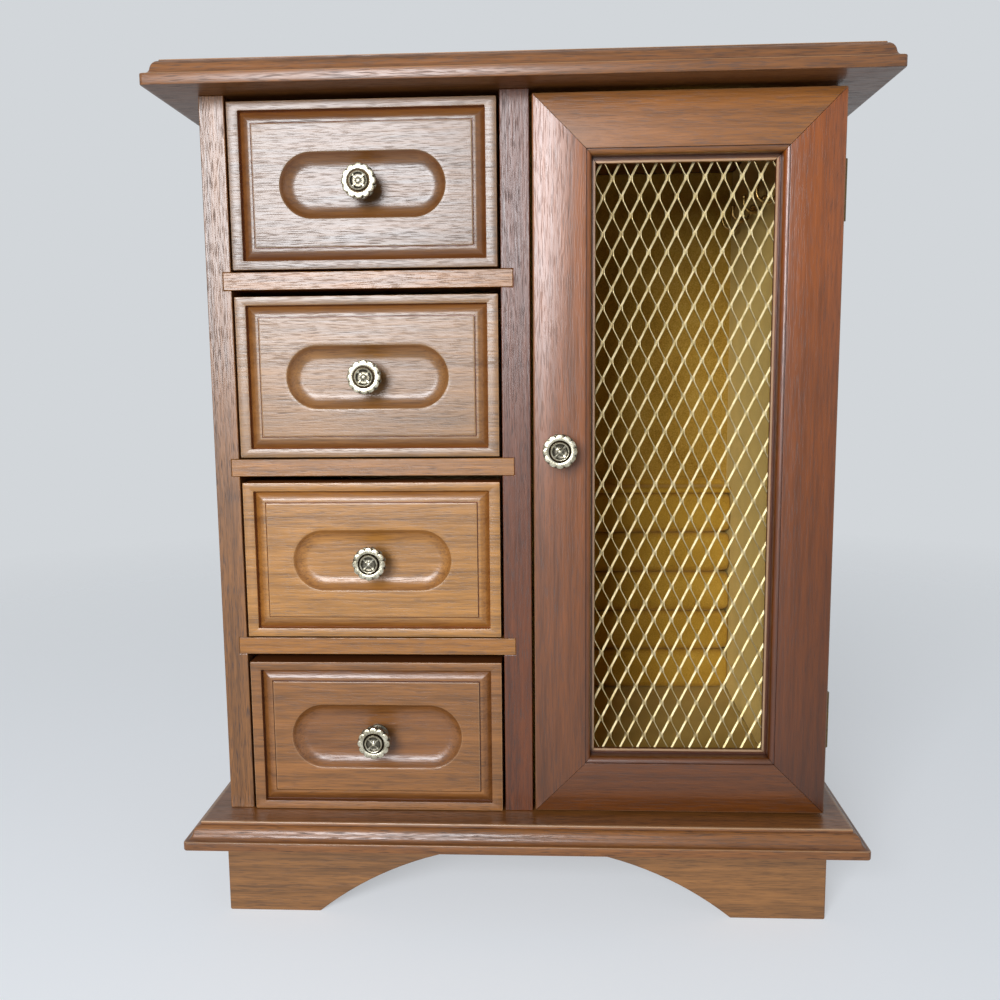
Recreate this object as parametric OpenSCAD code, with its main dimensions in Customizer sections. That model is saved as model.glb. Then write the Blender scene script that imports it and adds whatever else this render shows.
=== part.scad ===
// Table-top jewellery cabinet: four drawers at the left, a mesh door at the right, on an arched plinth.
// Millimetres. X runs to the right, Y to the back and Z up. The origin is on the floor under the middle.

/* [Case] */
// Outside width of the case
case_w = 262; // [230:1:320]
// Height of the case between the base board and the top board
case_h = 306.4; // [260:0.2:370]
// Depth of the case from its front edges to its back
case_d = 192; // [160:1:235]
// Thickness of the two case sides
side_t = 10.5; // [9:0.1:13]
// Thickness of the partition between the drawers and the door
partition_t = 12.1; // [10:0.1:15]
// Width of the opening that the drawers slide in
drawer_opening_w = 113; // [95:0.5:136]
// Thickness of the plywood back
back_t = 4; // [3:0.5:6]
// How far the back is let into each side
back_rebate = 5; // [3:0.5:6]

/* [Drawer rails] */
// Thickness of the rails between the drawers
rail_t = 7.3; // [6:0.1:10]
// Depth of the rails from front to back
rail_d = 28; // [20:1:45]
// How far a rail is let into the case side
rail_in_side = 3.4; // [2:0.1:6]
// How far a rail is let into the partition
rail_in_partition = 5; // [2:0.1:7]
// Width of the runners behind the rails
runner_w = 8; // [6.5:0.5:12]
// How much higher than its rail a runner stands
runner_lift = 0.6; // [0.3:0.1:1.5]

/* [Top and base boards] */
// Thickness of the top board
top_t = 11.2; // [10:0.1:15]
// Thickness of the base board
base_t = 10.8; // [10:0.1:15]
// Overhang of the top board at the front and the sides
top_overhang = 17.5; // [10:0.5:30]
// Overhang of the base board at the front
base_front_overhang = 20.3; // [19:0.1:35]
// Overhang of the base board at the sides
base_side_overhang = 15.2; // [10:0.1:30]
// Width of the ogee along the moulded edges
ogee_w = 5.8; // [3:0.1:8]
// Height of the ogee along the moulded edges
ogee_h = 5.9; // [4:0.1:6.5]
// Height of the small step above the ogee
quirk_h = 1.1; // [0.6:0.1:2]
// Rounding of the plain band below the ogee
band_round = 0.7; // [0.3:0.1:1.2]

/* [Plinth] */
// Height of the plinth from the floor to the base board
plinth_h = 37.8; // [28:0.1:55]
// Thickness of the plinth boards
plinth_t = 10; // [8:0.5:13]
// How far the plinth stands outside the case at the front
plinth_front = 0.8; // [0:0.1:6]
// How far the plinth stands outside the case at the sides
plinth_side = 2.3; // [0:0.1:6]
// Width of each foot where it meets the floor
foot_w = 41.4; // [30:0.1:55]
// Height of wood left above the middle of each arch
arch_crown = 5.2; // [4:0.1:12]
// Leg length of the triangular glue blocks
glue_block = 18; // [12:1:24]

/* [Drawers] */
// Gap above each drawer front
front_gap_top = 2.8; // [1:0.1:4]
// Gap at each side of a drawer front
front_gap_side = 1.2; // [0.6:0.1:2]
// How far the drawer fronts stand proud of the case
front_proud = 1; // [0:0.1:3]
// Thickness of the drawer fronts
front_t = 12; // [11:0.5:16]
// Width of the flat border at the ends of a drawer front
border_w = 4.6; // [3:0.1:8]
// Height of the flat border along the top and bottom of a drawer front
border_h = 3.6; // [3:0.1:8]
// Width of the groove round the raised field
groove_w = 5.2; // [3:0.1:7]
// Depth of the groove at its outer wall
groove_d = 2.6; // [1.5:0.1:3]
// Depth of the step where the groove meets the raised field
groove_step = 0.6; // [0.3:0.1:1]
// Length of the oval recess in the three upper drawer fronts
recess_l = 68.5; // [50:0.5:75]
// Height of the oval recess in the three upper drawer fronts
recess_h = 26.5; // [20:0.5:30]
// Length of the oval recess in the bottom drawer front
low_recess_l = 75.3; // [50:0.5:78]
// Height of the oval recess in the bottom drawer front
low_recess_h = 29; // [20:0.5:32]
// Depth of the oval recesses
recess_d = 3.4; // [2:0.1:4]
// Width of the hollow wall round a recess
recess_cove = 3.4; // [2:0.1:5]
// Gap between the back of a drawer and the back panel
drawer_back_gap = 8; // [3:1:20]
// Height of the drawer sides
box_h = 56; // [40:0.5:58]
// Thickness of the drawer sides and backs
box_t = 6; // [5:0.5:7]
// Thickness of the drawer bottoms
bottom_t = 3; // [2:0.5:4]
// Height of a drawer bottom above the lower edge of its sides
bottom_up = 4; // [3:0.5:8]
// Depth of the groove that holds a drawer bottom
bottom_groove = 3; // [2:0.5:4]
// Thickness of the velvet lining on the drawer walls
drawer_lining_t = 1.2; // [0.8:0.1:2]
// Thickness of the padded velvet on the drawer bottoms
drawer_pad_t = 2; // [1:0.5:4]
// Height of the lined part of the drawer walls
drawer_lining_h = 40; // [20:1:45]
// Running gap under the drawer sides
run_gap = 0.3; // [0.2:0.05:0.6]

/* [Door] */
// Thickness of the door frame
door_t = 12.5; // [11:0.1:15]
// How far the door stands proud of the case
door_proud = 2; // [1:0.1:4]
// Gap between the door and the partition
door_gap_side = 1.15; // [0.8:0.05:2]
// Gap under the door
door_gap_bottom = 1.2; // [0.8:0.1:3]
// Gap above the door
door_gap_top = 2.4; // [1:0.1:4]
// Flat width of each frame member, outside the bead
member_flat = 21.9; // [16:0.1:30]
// Width of the bead round the door opening
bead_w = 3.4; // [2:0.1:5]
// Step between the flat of a member and its bead
bead_step = 0.8; // [0.4:0.1:1.5]
// Height of the rounded part of the bead
bead_h = 2.2; // [1:0.1:4]
// Width of the narrow fillet between the bead and the mesh
fillet_w = 1.2; // [0.5:0.1:1.5]
// Depth from the front of the door to the fillet
fillet_depth = 7.2; // [6:0.1:7.5]
// Depth from the front of the door to the mesh
mesh_depth = 9.5; // [8:0.1:10]
// Width of the rebate that the mesh lies in
mesh_rebate = 4; // [3:0.1:6]
// Thickness of the strips that hold the mesh
strip_t = 1.8; // [1:0.1:2]

/* [Door mesh] */
// Thickness of the brass mesh
mesh_t = 0.8; // [0.5:0.1:1]
// Width of one diamond of the mesh
diamond_w = 7.4; // [7.4:0.1:9]
// Height of one diamond of the mesh
diamond_h = 15.6; // [15.6:0.1:19]
// Width of the mesh strands
strand = 1; // [0.6:0.1:1.6]

/* [Hinges and catch] */
// Length of each hinge
hinge_h = 25; // [18:0.5:40]
// Height of the middle of each hinge from the end of the door
hinge_inset = 38; // [28:1:60]
// Width of each hinge leaf over the wood
leaf_w = 9; // [7:0.1:10]
// Thickness of each hinge leaf
leaf_t = 0.7; // [0.5:0.05:1]
// Gap between the two closed leaves
leaf_gap = 0.2; // [0.1:0.05:0.4]
// Radius of the hinge barrel
barrel_r = 2; // [1.6:0.1:2.5]
// Radius of the hinge pin
pin_r = 0.9; // [0.7:0.05:1.2]
// Radial clearance of the pin in its knuckles
pin_clear = 0.03; // [0.02:0.01:0.06]
// Gap between neighbouring knuckles
knuckle_gap = 0.2; // [0.1:0.05:0.4]
// Gap between the barrel and the outer face of the case
barrel_gap = 0.2; // [0.1:0.05:0.5]
// Length of the hinge screws in the wood
hinge_screw_l = 9; // [5:0.5:9]
// Radius of the hinge screws
hinge_screw_r = 1.1; // [0.8:0.05:1.4]
// Height of the magnetic catch above the base board
catch_z = 92; // [70:1:120]
// Width, depth and height of the magnetic catch
catch_size = [9, 14, 24];
// Gap between the catch and its steel plate
catch_gap = 0.3; // [0.2:0.05:0.5]
// Thickness of the steel plate on the door
plate_t = 0.8; // [0.5:0.1:1.2]

/* [Knobs] */
// Diameter of the knobs over their teeth
knob_d = 14.2; // [10:0.1:20]
// Length of a knob from its seat to its face
knob_l = 13; // [10:0.5:20]
// Number of teeth round a knob
knob_teeth = 12; // [8:1:18]
// Height of the door knob above the middle of the door
door_knob_up = 8; // [0:0.5:30]
// Radius of the knob screws
knob_screw_r = 1.5; // [1:0.1:2]
// Clearance round a knob screw in the wood
knob_screw_clear = 0.1; // [0.05:0.05:0.3]

/* [Lined compartment] */
// Thickness of the velvet-covered card that lines the compartment
lining_t = 1.5; // [1:0.1:3]
// Number of padded rolls at the back
roll_count = 5; // [3:1:7]
// Height of one padded roll
roll_h = 23.8; // [16:0.1:28]
// Depth of the padded rolls from front to back
roll_d = 21; // [14:0.5:30]
// Rounding along the front of a roll
roll_round = 5; // [2:0.5:8]
// How much a roll is drawn in at its ends
roll_draw = 1.2; // [0:0.1:2]
// Height of the low pad on top of the rolls
top_pad_h = 3.2; // [2:0.1:6]
// Height of the edge of that pad, turned up against the back wall
top_pad_edge_h = 3.5; // [2:0.1:10]
// Thickness of the turned-up edge
top_pad_edge_t = 2.4; // [1.5:0.1:4]
// Number of hooks on the right wall
hook_count = 4; // [1:1:4]
// Distance between the hooks on the right wall
hook_pitch = 30; // [15:1:32]
// Distance of the first hook from the case front
hook_first = 56; // [30:1:60]
// Height of the hooks above the base board
hook_z = 276; // [200:1:280]
// Radius of the bend of a hook
hook_bend = 4.6; // [3:0.1:6]
// Radius of the hook wire
hook_wire = 0.8; // [0.5:0.1:1.2]
// Height of the straight tip of a hook
hook_tip = 2.6; // [1:0.1:5]

/* [Hidden] */
$fn = 48;

stained_wood = "sienna";
pale_wood = "burlywood";
velvet = "darkgoldenrod";
brass = "gold";

// Places, measured from the case front, the middle of the case and the top of the base board
case_right = case_w / 2;
case_left = -case_right;
inner_right = case_right - side_t;
inner_left = case_left + side_t;
partition_left = inner_left + drawer_opening_w;
partition_right = partition_left + partition_t;
inner_back = case_d - back_t;
floor_z = plinth_h + base_t;
front_reach = max(base_front_overhang, door_proud + knob_l);
origin_y = (case_d - front_reach) / 2;

drawer_count = 4;
opening_h = (case_h - (drawer_count - 1) * rail_t) / drawer_count;
function opening_z(n) = (drawer_count - n) * (opening_h + rail_t);
front_w = drawer_opening_w - 2 * front_gap_side;
front_h = opening_h - front_gap_top - runner_lift - run_gap;
function drawer_z(n) = opening_z(n) + run_gap + (n < drawer_count ? runner_lift : 0);
drawer_x = inner_left + drawer_opening_w / 2;
drawer_l = inner_back + front_proud - drawer_back_gap;
function recess_length(n) = n < drawer_count ? recess_l : low_recess_l;
function recess_height(n) = n < drawer_count ? recess_h : low_recess_h;

door_left = partition_right + door_gap_side;
door_w = case_right - door_left;
door_h = case_h - door_gap_bottom - door_gap_top;
door_back = door_t - door_proud;
member_w = member_flat + bead_w;
right_side_front = door_back + 2 * leaf_t + leaf_gap;
hinge_x = case_right + barrel_gap + barrel_r;
hinge_y = (door_back + right_side_front) / 2;
hinge_places = [
    door_gap_bottom + hinge_inset - hinge_h / 2,
    door_gap_bottom + door_h - hinge_inset - hinge_h / 2
];
door_knob_x = door_left + member_flat / 2;
door_knob_z = door_gap_bottom + door_h / 2 + door_knob_up;
rebate_inset = member_w - mesh_rebate;
catch_plate_l = 20;

// Gaps between neighbouring rolls, and between the rolls and the side linings
roll_gap = 0.3;
roll_side_gap = 0.3;

screw_head_r = 3;
screw_head_h = 2;
screw_in_knob = 8;
leaf_screw_spacing = hinge_h * 0.56;
hook_shank = 6;

// Moves a shape from the case's own place to the model's origin
module in_case() {
    translate([0, -origin_y, floor_z]) children();
}

// Box from one corner to the opposite corner
module block(low, high) {
    translate(low) cube(high - low);
}

function bezier(a, b, c, d, t) =
    a * pow(1 - t, 3) + b * 3 * t * pow(1 - t, 2) + c * 3 * t * t * (1 - t) + d * pow(t, 3);

// Outline of a moulded edge from its bottom to its top, as inset and height
function edge_points(t) =
    let (band = t - ogee_h - quirk_h, r = band_round, steps = 10)
    concat(
        [for (a = [0:30:90]) [r * (1 - sin(a)), r * (1 - cos(a))]],
        [for (a = [0:30:60]) [r * (1 - cos(a)), band - r * (1 - sin(a))]],
        [for (i = [0:steps]) bezier(
            [r, band], [r + ogee_w * 0.5, band + ogee_h * 0.06],
            [ogee_w * 0.32, band + ogee_h * 0.9], [ogee_w, band + ogee_h], i / steps)],
        [[ogee_w, t]]
    );

// Board with the moulding along its front and two sides and a square back edge
module moulded_board(w, front, back, t) {
    edge = edge_points(t);
    intersection() {
        rotate([90, 0, 90])
            linear_extrude(w, center = true)
                polygon(concat([for (p = edge) [front + p[0], p[1]]], [[back, t], [back, 0]]));
        translate([0, back, 0])
            rotate([90, 0, 0])
                linear_extrude(back - front)
                    polygon(concat(
                        [for (p = edge) [-w / 2 + p[0], p[1]]],
                        [for (i = [len(edge) - 1:-1:0]) [w / 2 - edge[i][0], edge[i][1]]]));
    }
}

module top_board() {
    color(stained_wood) in_case()
        translate([0, 0, case_h])
            moulded_board(case_w + 2 * top_overhang, -top_overhang, case_d, top_t);
}

module base_board() {
    color(stained_wood) in_case()
        translate([0, 0, -base_t])
            moulded_board(case_w + 2 * base_side_overhang, -base_front_overhang, case_d, base_t);
}

// Places of the rails: their height above the base board
function rail_z(k) = k * opening_h + (k - 1) * rail_t;

module rail_cut() {
    for (k = [1:drawer_count - 1])
        block([inner_left - rail_in_side, -1, rail_z(k)],
              [partition_left + rail_in_partition, rail_d, rail_z(k) + rail_t]);
}

module left_side() {
    color(stained_wood) in_case() difference() {
        block([case_left, 0, 0], [inner_left, case_d, case_h]);
        block([inner_left - back_rebate, inner_back, -1], [inner_left + 1, case_d + 1, case_h + 1]);
        rail_cut();
    }
}

module right_side() {
    color(stained_wood) in_case() difference() {
        block([inner_right, right_side_front, 0], [case_right, case_d, case_h]);
        block([inner_right - 1, inner_back, -1], [inner_right + back_rebate, case_d + 1, case_h + 1]);
        hinge_screw_holes(1);
        hook_holes();
    }
}

module centre_partition() {
    color(stained_wood) in_case() difference() {
        block([partition_left, 0, 0], [partition_right, inner_back, case_h]);
        rail_cut();
    }
}

module back_panel() {
    color(pale_wood) in_case()
        block([inner_left - back_rebate, inner_back, 0], [inner_right + back_rebate, case_d, case_h]);
}

module rail(k) {
    color(stained_wood) in_case()
        block([inner_left - rail_in_side, 0, rail_z(k)],
              [partition_left + rail_in_partition, rail_d, rail_z(k) + rail_t]);
}

module drawer_runners() {
    color(pale_wood) in_case()
        for (k = [1:drawer_count - 1], x = [inner_left, partition_left - runner_w])
            block([x, rail_d, rail_z(k)], [x + runner_w, inner_back, rail_z(k) + rail_t + runner_lift]);
}

// Places of the plinth, measured as the case is
plinth_x = case_right + plinth_side;
plinth_y0 = -plinth_front;
plinth_y1 = case_d;

// Cylinder that cuts the arch between two feet out of a board of length l, lying along Y
module arch(l) {
    half = l / 2 - foot_w;
    rise = plinth_h - arch_crown;
    r = (half * half + rise * rise) / (2 * rise);
    translate([0, 0, rise - r])
        rotate([90, 0, 0])
            cylinder(r = r, h = 4 * plinth_t, center = true, $fn = 120);
}

module plinth_front_board() {
    color(stained_wood) translate([0, -origin_y, 0]) difference() {
        linear_extrude(plinth_h)
            polygon([[-plinth_x, plinth_y0], [plinth_x, plinth_y0],
                     [plinth_x - plinth_t, plinth_y0 + plinth_t],
                     [-plinth_x + plinth_t, plinth_y0 + plinth_t]]);
        translate([0, plinth_y0 + plinth_t / 2, 0]) arch(2 * plinth_x);
    }
}

// Side board of the plinth: mitred at the front, square at the back
module plinth_side_board(side) {
    color(stained_wood) translate([0, -origin_y, 0]) difference() {
        linear_extrude(plinth_h)
            polygon([[side * plinth_x, plinth_y0], [side * plinth_x, plinth_y1],
                     [side * (plinth_x - plinth_t), plinth_y1],
                     [side * (plinth_x - plinth_t), plinth_y0 + plinth_t]]);
        translate([side * (plinth_x - plinth_t / 2), (plinth_y0 + plinth_y1) / 2, 0])
            rotate([0, 0, 90]) arch(plinth_y1 - plinth_y0);
    }
}

module plinth_back_board() {
    color(pale_wood) translate([0, -origin_y, 0]) difference() {
        block([-plinth_x + plinth_t, plinth_y1 - plinth_t, 0], [plinth_x - plinth_t, plinth_y1, plinth_h]);
        translate([0, plinth_y1 - plinth_t / 2, 0]) arch(2 * plinth_x);
    }
}

module plinth_glue_blocks() {
    inner_x = plinth_x - plinth_t;
    color(pale_wood) translate([0, -origin_y, 0])
        for (side = [-1, 1], end = [0, 1]) {
            y = end == 0 ? plinth_y0 + plinth_t : plinth_y1 - plinth_t;
            dir = end == 0 ? 1 : -1;
            translate([side * inner_x, y, plinth_h / 3])
                linear_extrude(plinth_h * 2 / 3)
                    polygon([[0, 0], [-side * glue_block, 0], [0, dir * glue_block]]);
        }
}

// Lining of velvet-covered card on the walls of the compartment behind the door
lining_front = right_side_front + 2;

module back_lining() {
    color(velvet) in_case()
        block([partition_right, inner_back - lining_t, 0], [inner_right, inner_back, case_h]);
}

module left_lining() {
    color(velvet) in_case()
        block([partition_right, door_back + 1, 0],
              [partition_right + lining_t, inner_back - lining_t, case_h]);
}

module right_lining() {
    color(velvet) in_case() difference() {
        block([inner_right - lining_t, lining_front, 0], [inner_right, inner_back - lining_t, case_h]);
        hook_holes();
    }
}

module floor_lining() {
    color(velvet) in_case()
        block([partition_right + lining_t, lining_front, 0],
              [inner_right - lining_t, inner_back - lining_t, lining_t]);
}

// One padded roll: rounded along the front, drawn in at both ends
module padded_roll(w, z) {
    half_h = roll_h / 2 - roll_gap / 2;
    ends = [0, 0.02, 0.06, 0.5, 0.94, 0.98, 1];
    function pull(s) = roll_draw * pow(abs(2 * s - 1), 12);
    function ring(s) =
        let (p = pull(s), r = roll_round, h = half_h - p, d = roll_d - p)
        concat(
            [[0, -h]],
            [for (a = [0:30:90]) [d - r + r * sin(a), -h + r - r * cos(a)]],
            [for (a = [90:-30:0]) [d - r + r * sin(a), h - r + r * cos(a)]],
            [[0, h]]
        );
    n = len(ring(0));
    points = [for (s = ends, q = ring(s)) [(s - 0.5) * w, -q[0], q[1]]];
    m = len(ends);
    sides = [for (i = [0:m - 2], j = [0:n - 1], half = [0, 1])
        let (a = i * n + j, b = i * n + (j + 1) % n)
        half == 0 ? [a, b, b + n] : [a, b + n, a + n]];
    caps = concat(
        [for (j = [1:n - 2]) [0, j + 1, j]],
        [for (j = [1:n - 2]) [(m - 1) * n, (m - 1) * n + j, (m - 1) * n + j + 1]]);
    translate([0, 0, z + roll_h / 2]) polyhedron(points, concat(sides, caps));
}

// Low pad on top of the rolls, turned up against the back wall, with its upper corners rounded
module top_pad(w, z) {
    front = roll_d - roll_draw;
    back = top_pad_edge_t;
    flat = top_pad_h;
    high = flat + top_pad_edge_h;
    corner = top_pad_edge_h * 0.8;
    translate([0, 0, z]) intersection() {
        rotate([90, 0, 90])
            linear_extrude(w, center = true)
                polygon([[0, 0], [-front, 0], [-front, flat * 0.6], [-front + flat * 0.3, flat],
                         [-back, flat], [-back, high - back * 0.5], [-back * 0.6, high], [0, high]]);
        rotate([90, 0, 0])
            linear_extrude(2 * roll_d, center = true)
                polygon(concat(
                    [[-w / 2, 0], [w / 2, 0]],
                    [for (a = [0:30:90]) [w / 2 - corner * (1 - cos(a)), high - corner * (1 - sin(a))]],
                    [for (a = [90:-30:0]) [-w / 2 + corner * (1 - cos(a)), high - corner * (1 - sin(a))]]));
    }
}

module ring_rolls() {
    left = partition_right + lining_t + roll_side_gap;
    right = inner_right - lining_t - roll_side_gap;
    color("goldenrod") in_case()
        translate([(left + right) / 2, inner_back - lining_t, lining_t]) {
            for (k = [0:roll_count - 1]) padded_roll(right - left, k * roll_h);
            top_pad(right - left, roll_count * roll_h + roll_gap / 2);
        }
}

// Hooks on the right wall of the compartment
module hook_holes() {
    for (k = [0:hook_count - 1])
        translate([inner_right - lining_t - 1, hook_first + k * hook_pitch, hook_z])
            rotate([0, 90, 0]) cylinder(r = hook_wire + 0.05, h = hook_shank + 1, $fn = 24);
}

module cup_hook() {
    neck = 2.4;
    // shank in the wall, with its round flange on the lining
    translate([-neck, 0, 0]) rotate([0, 90, 0]) cylinder(r = hook_wire, h = neck + hook_shank, $fn = 24);
    translate([-0.8, 0, 0]) rotate([0, 90, 0]) cylinder(r = 2.6, h = 0.8, $fn = 32);
    translate([-neck, 0, 0]) sphere(r = hook_wire, $fn = 24);
    // bend below the shank and the tip that stands up again
    translate([-neck, 0, -hook_tip]) cylinder(r = hook_wire, h = hook_tip, $fn = 24);
    translate([-neck - hook_bend, 0, -hook_tip])
        rotate([90, 0, 0])
            rotate_extrude(angle = -180, $fn = 48)
                translate([hook_bend, 0]) circle(r = hook_wire, $fn = 24);
    translate([-neck - 2 * hook_bend, 0, -hook_tip]) cylinder(r = hook_wire, h = hook_tip, $fn = 24);
    translate([-neck - 2 * hook_bend, 0, 0]) sphere(r = hook_wire * 1.5, $fn = 24);
}

module wall_hooks() {
    color(brass) in_case()
        for (k = [0:hook_count - 1])
            translate([inner_right - lining_t, hook_first + k * hook_pitch, hook_z]) cup_hook();
}

// Magnetic catch on the partition and its plate on the back of the door
module magnet_catch() {
    x0 = partition_right + lining_t;
    y0 = door_back + plate_t + catch_gap;
    color("saddlebrown") in_case()
        block([x0, y0, catch_z], [x0, y0, catch_z] + catch_size);
}

module catch_plate() {
    x0 = partition_right + lining_t;
    z0 = catch_z + (catch_size[2] - catch_plate_l) / 2;
    color("silver") in_case()
        block([x0, door_back, z0], [x0 + catch_size[0], door_back + plate_t, z0 + catch_plate_l]);
}

// Hinges: side is 1 for the leaf on the case and -1 for the leaf on the door
module leaf_screw_places(z0) {
    for (s = [-1, 1])
        translate([case_right - leaf_w / 2, hinge_y, z0 + hinge_h / 2 + s * leaf_screw_spacing / 2])
            children();
}

module hinge_screw(side, clear) {
    rotate([-90 * side, 0, 0]) {
        translate([0, 0, leaf_gap / 2]) cylinder(r1 = 1.9 + clear, r2 = 1.2 + clear, h = leaf_t, $fn = 32);
        translate([0, 0, leaf_gap / 2 + leaf_t])
            cylinder(r = hinge_screw_r + clear, h = hinge_screw_l, $fn = 32);
    }
}

module hinge_screw_holes(side) {
    for (z0 = hinge_places) leaf_screw_places(z0) hinge_screw(side, 0.05);
}

module knuckle(z0, from, to) {
    translate([hinge_x, hinge_y, z0 + from]) cylinder(r = barrel_r, h = to - from);
}

module hinge_leaf(side, z0) {
    third = hinge_h / 3;
    spans = side == 1
        ? [[0, third - knuckle_gap / 2], [2 * third + knuckle_gap / 2, hinge_h]]
        : [[third + knuckle_gap / 2, 2 * third - knuckle_gap / 2]];
    near = hinge_y + side * leaf_gap / 2;
    far = near + side * leaf_t;
    difference() {
        union() {
            block([case_right - leaf_w, min(near, far), z0], [case_right, max(near, far), z0 + hinge_h]);
            for (s = spans) {
                block([case_right - 1, min(near, far), z0 + s[0]], [hinge_x, max(near, far), z0 + s[1]]);
                knuckle(z0, s[0], s[1]);
            }
        }
        translate([hinge_x, hinge_y, z0 - 1]) cylinder(r = pin_r + pin_clear, h = hinge_h + 2);
        leaf_screw_places(z0) hinge_screw(side, 0.05);
    }
}

module hinge_case_leaves() {
    color(brass) in_case() for (z0 = hinge_places) hinge_leaf(1, z0);
}

module hinge_door_leaves() {
    color(brass) in_case() for (z0 = hinge_places) hinge_leaf(-1, z0);
}

module hinge_pins() {
    color(brass) in_case()
        for (z0 = hinge_places) translate([hinge_x, hinge_y, z0]) cylinder(r = pin_r, h = hinge_h);
}

module hinge_case_screws() {
    color(brass) in_case() for (z0 = hinge_places) leaf_screw_places(z0) hinge_screw(1, 0);
}

module hinge_door_screws() {
    color(brass) in_case() for (z0 = hinge_places) leaf_screw_places(z0) hinge_screw(-1, 0);
}

// Cross-section of a door member: x is the distance from its outer edge, y the depth from its face
function member_points() =
    let (round_w = bead_w - fillet_w)
    concat(
        [[0, 0], [member_flat, 0], [member_flat, bead_step]],
        [for (a = [18:18:90]) [member_flat + round_w * sin(a), bead_step + bead_h * (1 - cos(a))]],
        [[member_flat + round_w, fillet_depth], [member_w, fillet_depth]],
        [[member_w, mesh_depth], [rebate_inset, mesh_depth], [rebate_inset, door_t], [0, door_t]]);

// Member of the door frame along Z, mitred at both ends, with its outer edge at x = 0
module door_member(l) {
    intersection() {
        linear_extrude(l) polygon(member_points());
        translate([0, door_t, 0])
            rotate([90, 0, 0])
                linear_extrude(door_t)
                    polygon([[0, 0], [member_w, member_w], [member_w, l - member_w], [0, l]]);
    }
}

// Puts a shape on the door, whose lower left front corner is the shape's origin
module on_door() {
    in_case() translate([door_left, -door_proud, door_gap_bottom]) children();
}

module knob_screw_hole(depth) {
    rotate([-90, 0, 0]) {
        translate([0, 0, -1]) cylinder(r = knob_screw_r + knob_screw_clear, h = depth + 2, $fn = 32);
        translate([0, 0, depth - screw_head_h - 0.4])
            cylinder(r = screw_head_r + 0.4, h = screw_head_h + 1.4, $fn = 32);
    }
}

module door_knob_stile() {
    color(stained_wood) difference() {
        on_door() door_member(door_h);
        in_case() translate([door_knob_x, -door_proud, door_knob_z]) knob_screw_hole(door_t);
    }
}

module door_hinge_stile() {
    color(stained_wood) difference() {
        on_door() translate([door_w, 0, 0]) mirror([1, 0, 0]) door_member(door_h);
        in_case() hinge_screw_holes(-1);
    }
}

module door_bottom_rail() {
    color(stained_wood) on_door() mirror([1, 0, -1]) door_member(door_w);
}

module door_top_rail() {
    color(stained_wood) on_door()
        translate([0, 0, door_h]) mirror([0, 0, 1]) mirror([1, 0, -1]) door_member(door_w);
}

// Flat brass net: whole diamonds in two staggered sets, with a plain edge held in the rebate
module door_mesh() {
    w = door_w - 2 * rebate_inset;
    h = door_h - 2 * rebate_inset;
    open_w = w - 2 * mesh_rebate;
    open_h = h - 2 * mesh_rebate;
    nx = floor(open_w / diamond_w);
    nz = floor(open_h / diamond_h);
    // half width and half height of a hole, less the strands along its slanted sides
    slant = sqrt(pow(diamond_w, 2) + pow(diamond_h, 2));
    hole_w = diamond_w / 2 - strand * slant / diamond_h / 2;
    hole_h = diamond_h / 2 - strand * slant / diamond_w / 2;
    centres = [for (set = [0, 1], i = [0:nx - 1 - set], k = [0:nz - 1 - set])
        [(i - (nx - 1 - set) / 2) * diamond_w, (k - (nz - 1 - set) / 2) * diamond_h]];
    sheet = [[-w / 2, -h / 2], [w / 2, -h / 2], [w / 2, h / 2], [-w / 2, h / 2]];
    holes = [for (c = centres, p = [[hole_w, 0], [0, hole_h], [-hole_w, 0], [0, -hole_h]]) c + p];
    color(brass) on_door()
        translate([door_w / 2, mesh_depth + mesh_t, door_h / 2])
            rotate([90, 0, 0])
                linear_extrude(mesh_t)
                    polygon(concat(sheet, holes), concat(
                        [[0, 1, 2, 3]],
                        [for (c = [1:len(centres)]) [4 * c, 4 * c + 1, 4 * c + 2, 4 * c + 3]]));
}

// Strips that hold the mesh in the rebate
module mesh_strips() {
    y0 = mesh_depth + mesh_t;
    a = rebate_inset;
    b = rebate_inset + mesh_rebate - 0.4;
    color(stained_wood) on_door() {
        block([a, y0, a], [b, y0 + strip_t, door_h - a]);
        block([door_w - b, y0, a], [door_w - a, y0 + strip_t, door_h - a]);
        block([b, y0, a], [door_w - b, y0 + strip_t, b]);
        block([b, y0, door_h - b], [door_w - b, y0 + strip_t, door_h - a]);
    }
}

function cog_points(r, teeth, turn) = [for (i = [0:teeth * 8 - 1])
    let (a = 360 * i / (teeth * 8), q = r - 0.45 + 0.45 * cos(teeth * a + turn)) [q * cos(a), q * sin(a)]];

// Knob with its seat at y = 0 and its face towards -Y, and the screw that holds it
module knob(wood) {
    r = knob_d / 2;
    rotate([90, 0, 0]) {
        difference() {
            union() {
                cylinder(r = 4.6, h = 1.2);
                cylinder(r = 3, h = knob_l - 4);
                translate([0, 0, knob_l - 4.4]) linear_extrude(1.7) polygon(cog_points(r, knob_teeth, 180));
                translate([0, 0, knob_l - 2.7]) linear_extrude(1.7) polygon(cog_points(r, knob_teeth, 0));
                translate([0, 0, knob_l - 1]) difference() {
                    cylinder(r = r * 0.78, h = 1);
                    translate([0, 0, 0.3]) cylinder(r = r * 0.5, h = 1);
                }
                translate([0, 0, knob_l - 1]) cylinder(r = r * 0.22, h = 0.8);
            }
            translate([0, 0, -1]) cylinder(r = knob_screw_r + 0.03, h = screw_in_knob + 1.5, $fn = 32);
        }
        translate([0, 0, -wood + screw_head_h])
            cylinder(r = knob_screw_r, h = screw_in_knob + wood - screw_head_h, $fn = 32);
        translate([0, 0, -wood]) cylinder(r = screw_head_r, h = screw_head_h, $fn = 32);
    }
}

module door_knob() {
    color("silver") in_case() translate([door_knob_x, -door_proud, door_knob_z]) knob(door_t - 0.4);
}

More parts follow.
